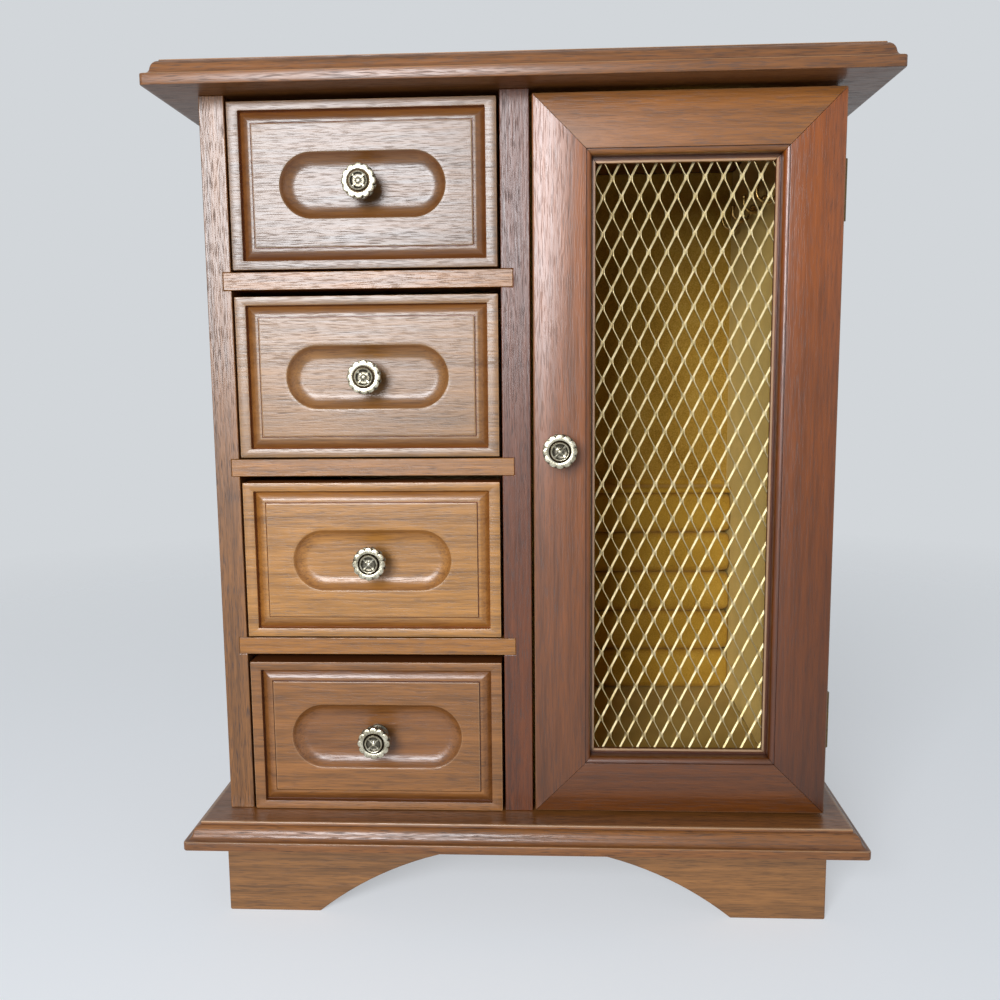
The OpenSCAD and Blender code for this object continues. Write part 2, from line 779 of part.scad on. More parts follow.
// Puts a shape on drawer n, whose front's lower middle point is the shape's origin
module on_drawer(n) {
    in_case() translate([drawer_x, -front_proud, drawer_z(n)]) children();
}

// Oval recess with hollow walls, cut into a face at y = 0
module oval_recess(l, h) {
    r = h / 2;
    half = l / 2 - r;
    hollow = [for (a = [0:18:90]) [r - recess_cove * (1 - cos(a)), recess_d * sin(a)]];
    wall = concat([[0, -1], [r, -1]], hollow, [[0, recess_d]]);
    rotate([-90, 0, 0]) {
        for (s = [-1, 1]) translate([s * half, 0, 0]) rotate_extrude($fn = 64) polygon(wall);
        rotate([90, 0, 90])
            linear_extrude(2 * half, center = true)
                polygon(concat(wall, [for (i = [len(wall) - 1:-1:0]) [-wall[i][0], wall[i][1]]]));
    }
}

// Groove between the flat border and the raised field of a drawer front
module field_groove() {
    out_w = front_w / 2 - border_w;
    in_w = out_w - groove_w;
    module plate(half, inset, y0, y1) {
        block([-half, y0, border_h + inset], [half, y1, front_h - border_h - inset]);
    }
    difference() {
        plate(out_w, 0, -1, groove_d);
        plate(in_w, groove_w, -2, groove_step);
        hull() {
            plate(in_w, groove_w, groove_step, groove_step + 0.01);
            plate(out_w, 0, groove_d, groove_d + 1);
        }
    }
}

module drawer_front(n) {
    color("peru") on_drawer(n) difference() {
        block([-front_w / 2, 0, 0], [front_w / 2, front_t, front_h]);
        field_groove();
        translate([0, 0, front_h / 2]) oval_recess(recess_length(n), recess_height(n));
        translate([0, 0, front_h / 2]) knob_screw_hole(front_t);
        // rebates for the sides and the groove for the bottom
        for (s = [-1, 1])
            translate([s * (front_w / 2 - box_t / 2), front_t, box_h / 2])
                cube([box_t, 2 * box_t, box_h], center = true);
        block([-front_w / 2 + box_t - 1, front_t - bottom_groove, bottom_up],
              [front_w / 2 - box_t + 1, front_t + 1, bottom_up + bottom_t]);
    }
}

module drawer_sides(n) {
    color(pale_wood) on_drawer(n)
        for (s = [0, 1]) mirror([s, 0, 0]) difference() {
            block([-front_w / 2, front_t - box_t, 0], [-front_w / 2 + box_t, drawer_l, box_h]);
            block([-front_w / 2 + box_t - bottom_groove, front_t - box_t - 1, bottom_up],
                  [-front_w / 2 + box_t + 1, drawer_l + 1, bottom_up + bottom_t]);
        }
}

module drawer_back(n) {
    color(pale_wood) on_drawer(n)
        block([-front_w / 2 + box_t, drawer_l - box_t, bottom_up + bottom_t],
              [front_w / 2 - box_t, drawer_l, box_h - 2]);
}

module drawer_bottom(n) {
    half = front_w / 2 - box_t;
    color(pale_wood) on_drawer(n) {
        block([-half, front_t - bottom_groove, bottom_up], [half, drawer_l, bottom_up + bottom_t]);
        for (s = [-1, 1])
            translate([s * (half + bottom_groove / 2 - 0.5), (front_t + drawer_l) / 2,
                       bottom_up + bottom_t / 2])
                cube([bottom_groove + 1, drawer_l - front_t, bottom_t], center = true);
    }
}

module drawer_lining(n) {
    half = front_w / 2 - box_t;
    z0 = bottom_up + bottom_t;
    color(velvet) on_drawer(n) difference() {
        block([-half, front_t, z0], [half, drawer_l - box_t, z0 + drawer_lining_h]);
        block([-half + drawer_lining_t, front_t + drawer_lining_t, z0 + drawer_pad_t],
              [half - drawer_lining_t, drawer_l - box_t - drawer_lining_t, z0 + drawer_lining_h + 1]);
    }
}

module drawer_knob(n) {
    color("silver") on_drawer(n)
        translate([0, recess_d, front_h / 2]) knob(front_t - recess_d - 0.4);
}

top_board();
base_board();
left_side();
right_side();
centre_partition();
back_panel();
rail(3);  // rail_upper
rail(2);  // rail_middle
rail(1);  // rail_lower
drawer_runners();
plinth_front_board();
plinth_side_board(-1);  // plinth_left_board
plinth_side_board(1);  // plinth_right_board
plinth_back_board();
plinth_glue_blocks();
back_lining();
left_lining();
right_lining();
floor_lining();
ring_rolls();
wall_hooks();
magnet_catch();
hinge_case_leaves();
hinge_pins();
hinge_case_screws();
door_knob_stile();
door_hinge_stile();
door_top_rail();
door_bottom_rail();
door_mesh();
mesh_strips();
door_knob();
catch_plate();
hinge_door_leaves();
hinge_door_screws();
drawer_front(1);  // drawer_1_front
drawer_sides(1);  // drawer_1_sides
drawer_back(1);  // drawer_1_back
drawer_bottom(1);  // drawer_1_bottom
drawer_lining(1);  // drawer_1_lining
drawer_knob(1);  // drawer_1_knob
drawer_front(2);  // drawer_2_front
drawer_sides(2);  // drawer_2_sides
drawer_back(2);  // drawer_2_back
drawer_bottom(2);  // drawer_2_bottom
drawer_lining(2);  // drawer_2_lining
drawer_knob(2);  // drawer_2_knob
drawer_front(3);  // drawer_3_front
drawer_sides(3);  // drawer_3_sides
drawer_back(3);  // drawer_3_back
drawer_bottom(3);  // drawer_3_bottom
drawer_lining(3);  // drawer_3_lining
drawer_knob(3);  // drawer_3_knob
drawer_front(4);  // drawer_4_front
drawer_sides(4);  // drawer_4_sides
drawer_back(4);  // drawer_4_back
drawer_bottom(4);  // drawer_4_bottom
drawer_lining(4);  // drawer_4_lining
drawer_knob(4);  // drawer_4_knob
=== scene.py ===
import math
import bmesh
import bpy
from mathutils import Matrix, Vector, noise


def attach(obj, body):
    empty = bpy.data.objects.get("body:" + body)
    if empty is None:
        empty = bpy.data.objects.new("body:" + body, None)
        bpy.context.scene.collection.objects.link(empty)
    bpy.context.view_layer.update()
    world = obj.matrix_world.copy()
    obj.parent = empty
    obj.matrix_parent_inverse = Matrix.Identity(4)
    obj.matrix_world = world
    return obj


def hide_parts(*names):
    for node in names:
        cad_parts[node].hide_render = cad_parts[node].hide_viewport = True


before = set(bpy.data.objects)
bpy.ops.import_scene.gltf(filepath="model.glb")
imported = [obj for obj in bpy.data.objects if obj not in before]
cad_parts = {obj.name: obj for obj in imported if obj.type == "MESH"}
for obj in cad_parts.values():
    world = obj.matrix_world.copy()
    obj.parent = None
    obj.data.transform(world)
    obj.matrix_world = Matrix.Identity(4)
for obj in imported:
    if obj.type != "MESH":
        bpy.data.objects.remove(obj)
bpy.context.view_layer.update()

# -----------------------------------------------------------------------------------------------------------
# Camera
# Stands where the photograph was taken from: 0.42 m in front of the case, a little right of its middle and
# looking slightly down and to the left. The picture is 1000 x 1000.
yaw, pitch, roll = (math.radians(a) for a in (-2.88885, 7.55177, -0.56291))
ahead = Vector((math.sin(yaw) * math.cos(pitch), math.cos(yaw) * math.cos(pitch), -math.sin(pitch)))
level = Vector((math.cos(yaw), -math.sin(yaw), 0))
upright = level.cross(ahead)
rightward = level * math.cos(roll) + upright * math.sin(roll)
upward = upright * math.cos(roll) - level * math.sin(roll)
lens = bpy.data.cameras.new("photo_camera")
lens.sensor_width = 36
lens.lens = 36 * 997.4346 / 1000
lens.clip_start = 0.01
camera = bpy.data.objects.new("photo_camera", lens)
bpy.context.scene.collection.objects.link(camera)
camera.matrix_world = Matrix.Translation((0.01252, -0.50598, 0.24337)) @ Matrix(
    (rightward, upward, -ahead)).transposed().to_4x4()
bpy.context.scene.camera = camera


# -----------------------------------------------------------------------------------------------------------
# Plinth
# Four boards on edge, each sawn to an arch between the feet: the front and the sides of stained hardwood, mitred
# and glued at the front corners, and a plain one at the back, all held by triangular glue blocks of plain wood.
def linear(hex_colour):
    """An sRGB hex colour as the linear colour that a shader takes."""
    parts = [int(hex_colour[i:i + 2], 16) / 255 for i in (1, 3, 5)]
    return [c / 12.92 if c <= 0.04045 else ((c + 0.055) / 1.055) ** 2.4 for c in parts] + [1.0]


def add(tree, kind, inputs=None, stops=(), **settings):
    """Adds one node with its settings. An input is a plain value or the output that it is linked to, and stops
    are a colour ramp's places and hex colours. By number, a Map Range takes its value, the range it comes from
    (1, 2) and the range it goes to (3, 4), and a Mix its share and two numbers (2, 3) or two colours (6, 7)."""
    node = tree.nodes.new(kind)
    for key, value in settings.items():
        setattr(node, key, value)
    for key, value in (inputs or {}).items():
        if isinstance(value, bpy.types.NodeSocket):
            tree.links.new(value, node.inputs[key])
        else:
            node.inputs[key].default_value = value
    if stops:
        elements = node.color_ramp.elements
        while len(elements) < len(stops):
            elements.new(1.0)
        for element, (where, colour) in zip(elements, stops):
            element.position = where
            element.color = linear(colour)
    return node


def new_material(name):
    material = bpy.data.materials.new(name)
    material.use_nodes = True
    material.node_tree.nodes.clear()
    return material, material.node_tree


along_grain = 0.05  # every pattern of wood is drawn out to 20 times its width along the grain


def lacquered_wood(name, grain, dark, middle, pale, groove="#43200e", ring_mm=6.5, shift=0.0, open_pores=0.5,
                   foot=1.0, head=1.0):
    """Stained hardwood under a thin satin lacquer: warm and even from afar, with soft growth rings, fine dark
    open pores and a clear broad sheen. Per point, stain gathered in the mouldings and painted shade in their
    hollows and gaps darken it, and arrises are paler. Foot and head can paint a light falloff on it, darker
    towards the foot of the cabinet and lighter towards its top."""
    material, tree = new_material(name)
    place = add(tree, "ShaderNodeTexCoord").outputs["Object"]
    drawn = [1.0, 1.0, 1.0]
    drawn["XYZ".index(grain)] = along_grain
    fibres = add(tree, "ShaderNodeMapping", {"Vector": place, "Location": (0.31 + shift, 0.09, 0.17 - shift),
                                             "Scale": drawn}).outputs["Vector"]
    # growth rings about ring_mm apart (a wave of scale 314 repeats every millimetre), a figure 7 mm wide, streaks
    # of 1 mm, clouds of 60 mm, and pores of 0.35 by 7 mm. Real pores are half as wide, which is too fine to show
    rings = add(tree, "ShaderNodeTexWave", {"Vector": fibres, "Scale": 314 / ring_mm, "Distortion": 9.0,
                                            "Detail": 3.0, "Detail Scale": 0.8, "Detail Roughness": 0.6},
                wave_type="RINGS", rings_direction=grain, wave_profile="SIN").outputs["Fac"]
    figure = add(tree, "ShaderNodeTexNoise", {"Vector": fibres, "Scale": 150.0, "Detail": 4.0,
                                              "Roughness": 0.6}).outputs["Fac"]
    streak = add(tree, "ShaderNodeTexNoise", {"Vector": fibres, "Scale": 1000.0, "Detail": 2.0}).outputs["Fac"]
    pores = add(tree, "ShaderNodeTexNoise", {"Vector": fibres, "Scale": 2900.0, "Detail": 1.0}).outputs["Fac"]
    cloud = add(tree, "ShaderNodeTexNoise", {"Vector": place, "Scale": 16.0, "Detail": 2.0}).outputs["Fac"]
    tone = add(tree, "ShaderNodeMix", {0: 0.82, 2: rings, 3: figure}).outputs[0]
    tone = add(tree, "ShaderNodeMix", {0: 0.5, 2: tone, 3: streak}).outputs[0]
    colour = add(tree, "ShaderNodeValToRGB", {"Fac": tone},
                 [(0.34, dark), (0.5, middle), (0.66, pale)]).outputs[0]
    # the stain took a little unevenly all over. Foot and head multiply the colour 6 and 34 cm up: a painted light
    # falloff, darker towards the foot and lighter towards the top
    uneven = add(tree, "ShaderNodeMapRange", {0: cloud, 1: 0.3, 2: 0.7, 3: 0.9, 4: 1.1}).outputs[0]
    up = add(tree, "ShaderNodeSeparateXYZ", {"Vector": place}).outputs["Z"]
    painted_falloff = add(tree, "ShaderNodeMapRange", {0: up, 1: 0.06, 2: 0.34, 3: foot, 4: head}).outputs[0]
    uneven_and_painted_falloff = add(tree, "ShaderNodeMath", {0: uneven, 1: painted_falloff}, operation="MULTIPLY").outputs[0]
    colour = add(tree, "ShaderNodeHueSaturation", {"Color": colour, "Value": uneven_and_painted_falloff}).outputs["Color"]
    # pores are dashes in the noise, denser where the figure is dark, and filled with stain
    dashes = add(tree, "ShaderNodeMapRange", {0: pores, 1: 0.53, 2: 0.66}).outputs[0]
    dense = add(tree, "ShaderNodeMapRange", {0: figure, 1: 0.62, 2: 0.38, 3: 0.6, 4: 1.0}).outputs[0]
    dashes = add(tree, "ShaderNodeMath", {0: dashes, 1: dense}, operation="MULTIPLY").outputs[0]
    soaked = add(tree, "ShaderNodeMath", {0: dashes, 1: open_pores}, operation="MULTIPLY").outputs[0]
    colour = add(tree, "ShaderNodeMix", {0: soaked, 6: colour, 7: linear("#2a150a")}, data_type="RGBA").outputs[2]
    # one value per point of a moulding: up to 1 where it is darkened, for stain gathered in hollows and for
    # painted shade in deep hollows and gaps, down to -1 where arrises are paler
    stain = add(tree, "ShaderNodeAttribute", attribute_name="stain").outputs["Fac"]
    colour = add(tree, "ShaderNodeMix", {0: stain, 6: colour, 7: linear(groove)}, data_type="RGBA").outputs[2]
    pale_arris = add(tree, "ShaderNodeMapRange", {0: stain, 1: 0.0, 2: -1.0}).outputs[0]
    colour = add(tree, "ShaderNodeMix", {0: pale_arris, 6: colour, 7: linear("#d0ae88")}, data_type="RGBA").outputs[2]
    height = add(tree, "ShaderNodeMix", {0: dashes, 2: streak, 3: 0.0}).outputs[0]
    bump = add(tree, "ShaderNodeBump", {"Height": height, "Strength": 0.3 + 0.4 * open_pores,
                                        "Distance": 0.00008})
    satin = add(tree, "ShaderNodeMapRange", {0: streak, 1: 0.3, 2: 0.7, 3: 0.28, 4: 0.34}).outputs[0]
    gloss = add(tree, "ShaderNodeMix", {0: soaked, 2: satin, 3: 0.7}).outputs[0]
    surface = add(tree, "ShaderNodeBsdfPrincipled", {
        "Base Color": colour, "Roughness": gloss, "IOR": 1.58, "Normal": bump.outputs["Normal"]})
    add(tree, "ShaderNodeOutputMaterial", {"Surface": surface.outputs["BSDF"]})
    return material


def plain_wood(name, grain, dark, pale):
    """Unfinished pale timber and plywood, planed: dull, with a faint straight grain 6 mm and 0.7 mm wide."""
    material, tree = new_material(name)
    place = add(tree, "ShaderNodeTexCoord").outputs["Object"]
    drawn = [1.0, 1.0, 1.0]
    drawn["XYZ".index(grain)] = along_grain
    fibres = add(tree, "ShaderNodeMapping", {"Vector": place, "Scale": drawn}).outputs["Vector"]
    figure = add(tree, "ShaderNodeTexNoise", {"Vector": fibres, "Scale": 160.0, "Detail": 5.0,
                                              "Distortion": 0.4}).outputs["Fac"]
    fine = add(tree, "ShaderNodeTexNoise", {"Vector": fibres, "Scale": 1400.0, "Detail": 1.0}).outputs["Fac"]
    tone = add(tree, "ShaderNodeMix", {0: 0.35, 2: figure, 3: fine}).outputs[0]
    colour = add(tree, "ShaderNodeValToRGB", {"Fac": tone}, [(0.32, dark), (0.66, pale)]).outputs[0]
    dull = add(tree, "ShaderNodeMapRange", {0: fine, 1: 0.3, 2: 0.7, 3: 0.62, 4: 0.78}).outputs[0]
    bump = add(tree, "ShaderNodeBump", {"Height": fine, "Strength": 0.3, "Distance": 0.0001})
    surface = add(tree, "ShaderNodeBsdfPrincipled", {
        "Base Color": colour, "Roughness": dull, "IOR": 1.5, "Normal": bump.outputs["Normal"]})
    add(tree, "ShaderNodeOutputMaterial", {"Surface": surface.outputs["BSDF"]})
    return material


def finish_node(node, material, arris_mm=0.35):
    """Gives a CAD node its material, and takes the sharpness off its edges as sandpaper does."""
    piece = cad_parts[node]
    for slot in piece.material_slots:
        slot.material = material
    weld = piece.modifiers.new("weld", "WELD")
    weld.merge_threshold = 0.000005
    flat = piece.modifiers.new("flat", "DECIMATE")
    flat.decimate_type = "DISSOLVE"
    flat.angle_limit = math.radians(1)
    if arris_mm:
        ease = piece.modifiers.new("eased_edges", "BEVEL")
        ease.width = arris_mm / 1000
        ease.segments = 2
        ease.limit_method = "ANGLE"
        ease.angle_limit = math.radians(35)
        ease.use_clamp_overlap = True
    return piece


plinth_front_wood = lacquered_wood("plinth_front_wood", "X", "#684523", "#84592f", "#956536")
plinth_side_wood = lacquered_wood("plinth_side_wood", "Y", "#623e24", "#7c5030", "#8c5b37")
glue_block_wood = plain_wood("glue_block_wood", "X", "#a58257", "#c4a377")
finish_node("plinth_front_board", plinth_front_wood, 0.5)
for node in ("plinth_left_board", "plinth_right_board"):
    finish_node(node, plinth_side_wood, 0.5)
finish_node("plinth_back_board", glue_block_wood, 0.4)
finish_node("plinth_glue_blocks", glue_block_wood, 0.3)


# -----------------------------------------------------------------------------------------------------------
# Base board and top board
# Solid hardwood boards, planed flat, with a routed edge on the front and both sides: a plain band, an ogee above
# it and a small step (quirk) under the top. The back edge is sawn square. Glued to the plinth and to the sides.
def case_mm(x, y, z):
    """From millimetres off the case's middle, front and base board top to metres in the frame."""
    middle_y, base_top_z = 85.85, 48.6
    return (x / 1000, (y - middle_y) / 1000, (z + base_top_z) / 1000)


def rounded_rectangle(half_w, half_h, r, steps):
    """Points round a rectangle about (0, 0) with rounded corners. With r = half_h it is a stadium."""
    out = []
    for corner, (sx, sy) in enumerate([(1, 1), (-1, 1), (-1, -1), (1, -1)]):
        for i in range(steps + 1):
            a = math.pi / 2 * (corner + i / steps)
            out.append((sx * (half_w - r) + r * math.cos(a), sy * (half_h - r) + r * math.sin(a)))
    return out


def skin(rings):
    """Points and faces of a closed solid through rings of equally many points, with both ends filled."""
    n = len(rings[0])
    faces = [(i * n + j, i * n + (j + 1) % n, (i + 1) * n + (j + 1) % n, (i + 1) * n + j)
             for i in range(len(rings) - 1) for j in range(n)]
    last = (len(rings) - 1) * n
    return [p for ring in rings for p in ring], faces + [tuple(range(n)), tuple(range(last, last + n))]


def make_piece(name, points, faces, body, material, finish, stands_for=(), stain=None, crease=32):
    """A mesh object from points in the case's millimetres, riding on a body."""
    mesh = bpy.data.meshes.new(name)
    mesh.from_pydata([case_mm(*p) for p in points], [], faces)
    if stain:
        mesh.attributes.new("stain", "FLOAT", "POINT").data.foreach_set("value", stain)
    shape = bmesh.new()
    shape.from_mesh(mesh)
    bmesh.ops.remove_doubles(shape, verts=shape.verts, dist=1e-6)
    bmesh.ops.recalc_face_normals(shape, faces=shape.faces)
    for face in shape.faces:
        face.smooth = True
    shape.to_mesh(mesh)
    shape.free()
    mesh.set_sharp_from_angle(angle=math.radians(crease))
    piece = bpy.data.objects.new(name, mesh)
    bpy.context.scene.collection.objects.link(piece)
    mesh.materials.append(material)
    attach(piece, body)
    if stands_for:
        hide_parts(*stands_for)
    return piece


def moulded_board(name, half_w, front, z0, thick, band, step, material):
    """The board as rings from its underside up: each is the outline at one height of the moulding."""
    back, ogee_h = 192, 5.4
    stretch = (thick - step - band) / ogee_h
    # inset from the board's edge, height above its underside, and darkening, which is gathered stain with painted
    # shade in the cove and in the quirk of the step, and below 0 paler arrises: band, cove, ovolo, then the step
    profile = [(0.6, 0, 0.2), (0.2, 0.1, 0), (0, 0.5, 0.1), (0, band - 0.45, 0.15), (0.1, band - 0.15, -0.3),
               (0.4, band, -0.25), (0.8, band + 0.03, 0.2)]
    profile += [(inset, band + h * stretch, dark) for inset, h, dark in (
        (1.2, 0.1, 0.45), (1.6, 0.25, 0.4), (2.0, 0.5, 0.3), (2.4, 0.8, 0.25), (2.7, 1.15, 0.2),
        (2.95, 1.6, 0.15), (3.1, 2.1, 0.1), (3.22, 2.6, 0), (3.4, 3.2, 0), (3.7, 3.8, 0), (4.1, 4.35, 0),
        (4.6, 4.8, 0), (5.15, 5.15, 0), (5.7, 5.35, 0.1), (6.0, ogee_h, 0.5))]
    profile += [(6.08, thick - step + 0.08, 0.7), (6.1, thick - step + 0.25, 0.2), (6.1, thick - 0.3, -0.3),
                (6.2, thick - 0.08, -0.5), (6.5, thick, -0.3), (7.5, thick, 0)]
    rings, stain = [], []
    for inset, height, dark in profile:
        y0 = front + inset
        ring = rounded_rectangle(half_w - inset, (back - y0) / 2, max(0.3, 1.6 - 0.2 * inset), 5)
        rings.append([(x, y + (back + y0) / 2, z0 + height) for x, y in ring])
        stain += [dark] * len(ring)
    return make_piece(name, *skin(rings), "case", material, "stained_wood", [name], stain)


board_wood = lacquered_wood("board_wood", "X", "#643d1a", "#7f4f24", "#8f5a2a", ring_mm=9, shift=0.4,
                            open_pores=0.75)
moulded_board("base_board", 146.2, -20.3, -10.8, 10.8, 3.9, 1.4, board_wood)
moulded_board("top_board", 148.5, -17.5, 306.4, 11.2, 4.6, 0.7, board_wood)


# -----------------------------------------------------------------------------------------------------------
# Case sides, partition, rails and back
# Upright hardwood boards between base and top, with three rails let into the left side and the partition so that
# their ends show in the front edges. Stained and lacquered as one; the back is thin plywood pinned in rebates.
side_wood = lacquered_wood("side_wood", "Z", "#623e1c", "#7c5026", "#8c5b2c", ring_mm=5, shift=0.15,
                           open_pores=0.8)
partition_wood = lacquered_wood("partition_wood", "Z", "#482004", "#5c2b07", "#683209", ring_mm=4.5, shift=0.7,
                                open_pores=0.8)
rail_wood = lacquered_wood("rail_wood", "X", "#73491a", "#925e23", "#a46a29", ring_mm=4, shift=0.55)
back_ply = plain_wood("back_plywood", "Z", "#9a7248", "#bb9467")
for node in ("left_side", "right_side"):
    finish_node(node, side_wood)
finish_node("centre_partition", partition_wood)
for node in ("rail_upper", "rail_middle", "rail_lower"):
    finish_node(node, rail_wood, 0.25)
finish_node("back_panel", back_ply, 0.2)
finish_node("drawer_runners", glue_block_wood, 0.4)


# -----------------------------------------------------------------------------------------------------------
# Velvet linings
# Gold cotton velvet glued over thin card and pressed into the compartment behind the door: back, both side walls
# and floor. The pile lies in soft patches. The side walls and floor get a darker, more olive copy of the velvet,
# painted shade of walls that the light only grazes.
def velvet(name, deep, middle, bright, bloom=0.5):
    """Short cotton pile: deep colour when seen straight on, a dusty bloom at grazing angles, no gloss."""
    material, tree = new_material(name)
    place = add(tree, "ShaderNodeTexCoord").outputs["Object"]
    # soft brush marks 20 to 40 mm across, and tufts 0.5 mm wide, twice as coarse as real ones so that they show
    brushed = add(tree, "ShaderNodeTexNoise", {"Vector": place, "Scale": 38.0, "Detail": 2.0,
                                               "Distortion": 0.3}).outputs["Fac"]
    tufts = add(tree, "ShaderNodeTexNoise", {"Vector": place, "Scale": 2000.0, "Detail": 2.0}).outputs["Fac"]
    tone = add(tree, "ShaderNodeMix", {0: 0.6, 2: brushed, 3: tufts}).outputs[0]
    colour = add(tree, "ShaderNodeValToRGB", {"Fac": tone},
                 [(0.3, deep), (0.5, middle), (0.7, bright)]).outputs[0]
    bump = add(tree, "ShaderNodeBump", {"Height": tufts, "Strength": 0.5, "Distance": 0.0003})
    surface = add(tree, "ShaderNodeBsdfPrincipled", {
        "Base Color": colour, "Roughness": 0.95, "IOR": 1.5, "Specular IOR Level": 0.15, "Sheen Weight": bloom,
        "Sheen Roughness": 0.45, "Sheen Tint": linear("#e8c87a"), "Normal": bump.outputs["Normal"]})
    add(tree, "ShaderNodeOutputMaterial", {"Surface": surface.outputs["BSDF"]})
    return material


def lined_panel(name, corner, across, up, out, size, material):
    """Velvet glued over card: edges turned over the card's arris, face a little uneven from the glue."""
    corner, across, up, out = Vector(corner), Vector(across), Vector(up), Vector(out)
    lining_t = 1.5

    def lines(length):
        """Places along one side: close together within 3 mm of its ends and about 5 mm apart between."""
        inner = max(2, round((length - 6) / 5))
        return [0, 0.35, 1.0, 3.0] + [3 + (length - 6) * i / inner for i in range(1, inner)] + [
            length - 3, length - 1.0, length - 0.35, length]

    rows, columns = lines(size[1]), lines(size[0])
    turned_over = {0: 0.45, 1: 0.8}
    points = []
    for side in (0, 1):
        for i, v in enumerate(rows):
            for j, u in enumerate(columns):
                rim = min(i, j, len(rows) - 1 - i, len(columns) - 1 - j)
                at = corner + across * u + up * v
                lumps = 0.5 + 0.5 * noise.noise(at / 9)
                height = side * lining_t * turned_over.get(rim, 1 - 0.12 * lumps)
                points.append(at + out * height)
    n, m = len(columns), len(rows)
    faces = [(s * n * m + i * n + j, s * n * m + i * n + j + 1, s * n * m + (i + 1) * n + j + 1,
              s * n * m + (i + 1) * n + j) for s in (0, 1) for i in range(m - 1) for j in range(n - 1)]
    rim = [j for j in range(n)] + [i * n + n - 1 for i in range(1, m)] + [
        (m - 1) * n + j for j in range(n - 2, -1, -1)] + [i * n for i in range(m - 2, 0, -1)]
    faces += [(a, b, b + n * m, a + n * m) for a, b in zip(rim, rim[1:] + rim[:1])]
    piece = make_piece(name, points, faces, "case", material, "gold_velvet", [name], crease=60)
    return piece


wall_velvet = velvet("wall_velvet", "#916a20", "#c2963a", "#d8b056")
# painted shade: a darker, more olive copy of the wall velvet for the side walls and floor
shaded_side_velvet = velvet("shaded_side_velvet", "#826327", "#aa8638", "#c4a354", bloom=0.9)
lined_panel("back_lining", (4.6, 188, 0), (1, 0, 0), (0, 0, 1), (0, -1, 0), (115.9, 306.4), wall_velvet)
lined_panel("left_lining", (4.6, 11.5, 0), (0, 1, 0), (0, 0, 1), (1, 0, 0), (175, 306.4), shaded_side_velvet)
lined_panel("right_lining", (120.5, 14.1, 0), (0, 1, 0), (0, 0, 1), (-1, 0, 0), (172.4, 306.4), shaded_side_velvet)
lined_panel("floor_lining", (6.1, 14.1, 0), (1, 0, 0), (0, 1, 0), (0, 0, 1), (112.9, 172.4), shaded_side_velvet)


# -----------------------------------------------------------------------------------------------------------
# Ring rolls and the pad on them
# Five foam strips wrapped in the same velvet and packed one above another against the back wall, so that a ring
# is held in the slit between two of them. A low pad with a turned-up back edge closes the stack.
roll_left, roll_right, roll_back = 6.4, 118.7, 186.5
roll_velvet = velvet("roll_velvet", "#a67a26", "#c99a36", "#dcb14e")


def soft_roll(name, z0):
    """A foam strip in velvet: full along its middle, drawn in where the cloth is folded over its ends."""
    half, deep, r, front_from = 11.75, 21.0, 5.0, 12
    stations = [0, 0.004, 0.012, 0.03, 0.06] + [0.06 + 0.88 * i / 26 for i in range(1, 26)] + [
        0.94, 0.97, 0.988, 0.996, 1]
    rings = []
    for s in stations:
        pull = 1.2 * abs(2 * s - 1) ** 12 + (1.1 if s in (0, 1) else 0.3 if s in (0.004, 0.996) else 0)
        h, d = half - pull, deep - pull
        outline = [(0.0, -h)] + [(d - r + r * math.sin(a), -h + r - r * math.cos(a)) for a in
                                 (0, 0.26, 0.52, 0.79, 1.05, 1.31)]
        outline += [(d, (h - r) * t) for t in (-0.8, -0.4, 0, 0.4, 0.8)]
        outline += [(d - r + r * math.sin(a), h - r + r * math.cos(a)) for a in (1.31, 1.05, 0.79, 0.52, 0.26, 0)]
        outline.append((0.0, h))
        ring = []
        for y, z in outline:
            # only the front bulges, a little unevenly
            if y > front_from:
                y += 0.55 * (1 - (z / h) ** 2) - 0.75 + 0.25 * noise.noise(Vector((s * 14, z / 6, z0)))
            ring.append((roll_left + (roll_right - roll_left) * s, roll_back - max(0.0, y), z0 + 11.9 + z))
        rings.append(ring)
    piece = make_piece(name, *skin(rings), "case", roll_velvet, "padded_velvet", ["ring_rolls"], crease=70)


for k in range(5):
    soft_roll(f"ring_roll_{k + 1}", 1.5 + 23.8 * k)

pad_z, pad_h = 120.65, 6.7
pad_outline = [(0, 0), (19.3, 0), (19.8, 0.6), (19.8, 1.6), (19.2, 2.6), (17.8, 3.15), (12, 3.2), (6, 3.15),
               (3.2, 3.3), (2.6, 3.9), (2.3, 5.2), (1.8, 6.2), (1.0, pad_h), (0, pad_h)]
pad_rings = []
for k in range(31):
    s = k / 30
    # the height falls off in a quarter round over the last part of each end
    past = max(0, abs(2 * s - 1) - 0.95) / 0.05
    drop = 2.8 * (1 - math.sqrt(max(0, 1 - past ** 2)))
    x = roll_left + (roll_right - roll_left) * s
    pad_rings.append([(x, roll_back - y, pad_z + min(z, pad_h - drop)) for y, z in pad_outline])
pad = make_piece("ring_roll_pad", *skin(pad_rings), "case", roll_velvet, "padded_velvet", ["ring_rolls"],
                 crease=60)


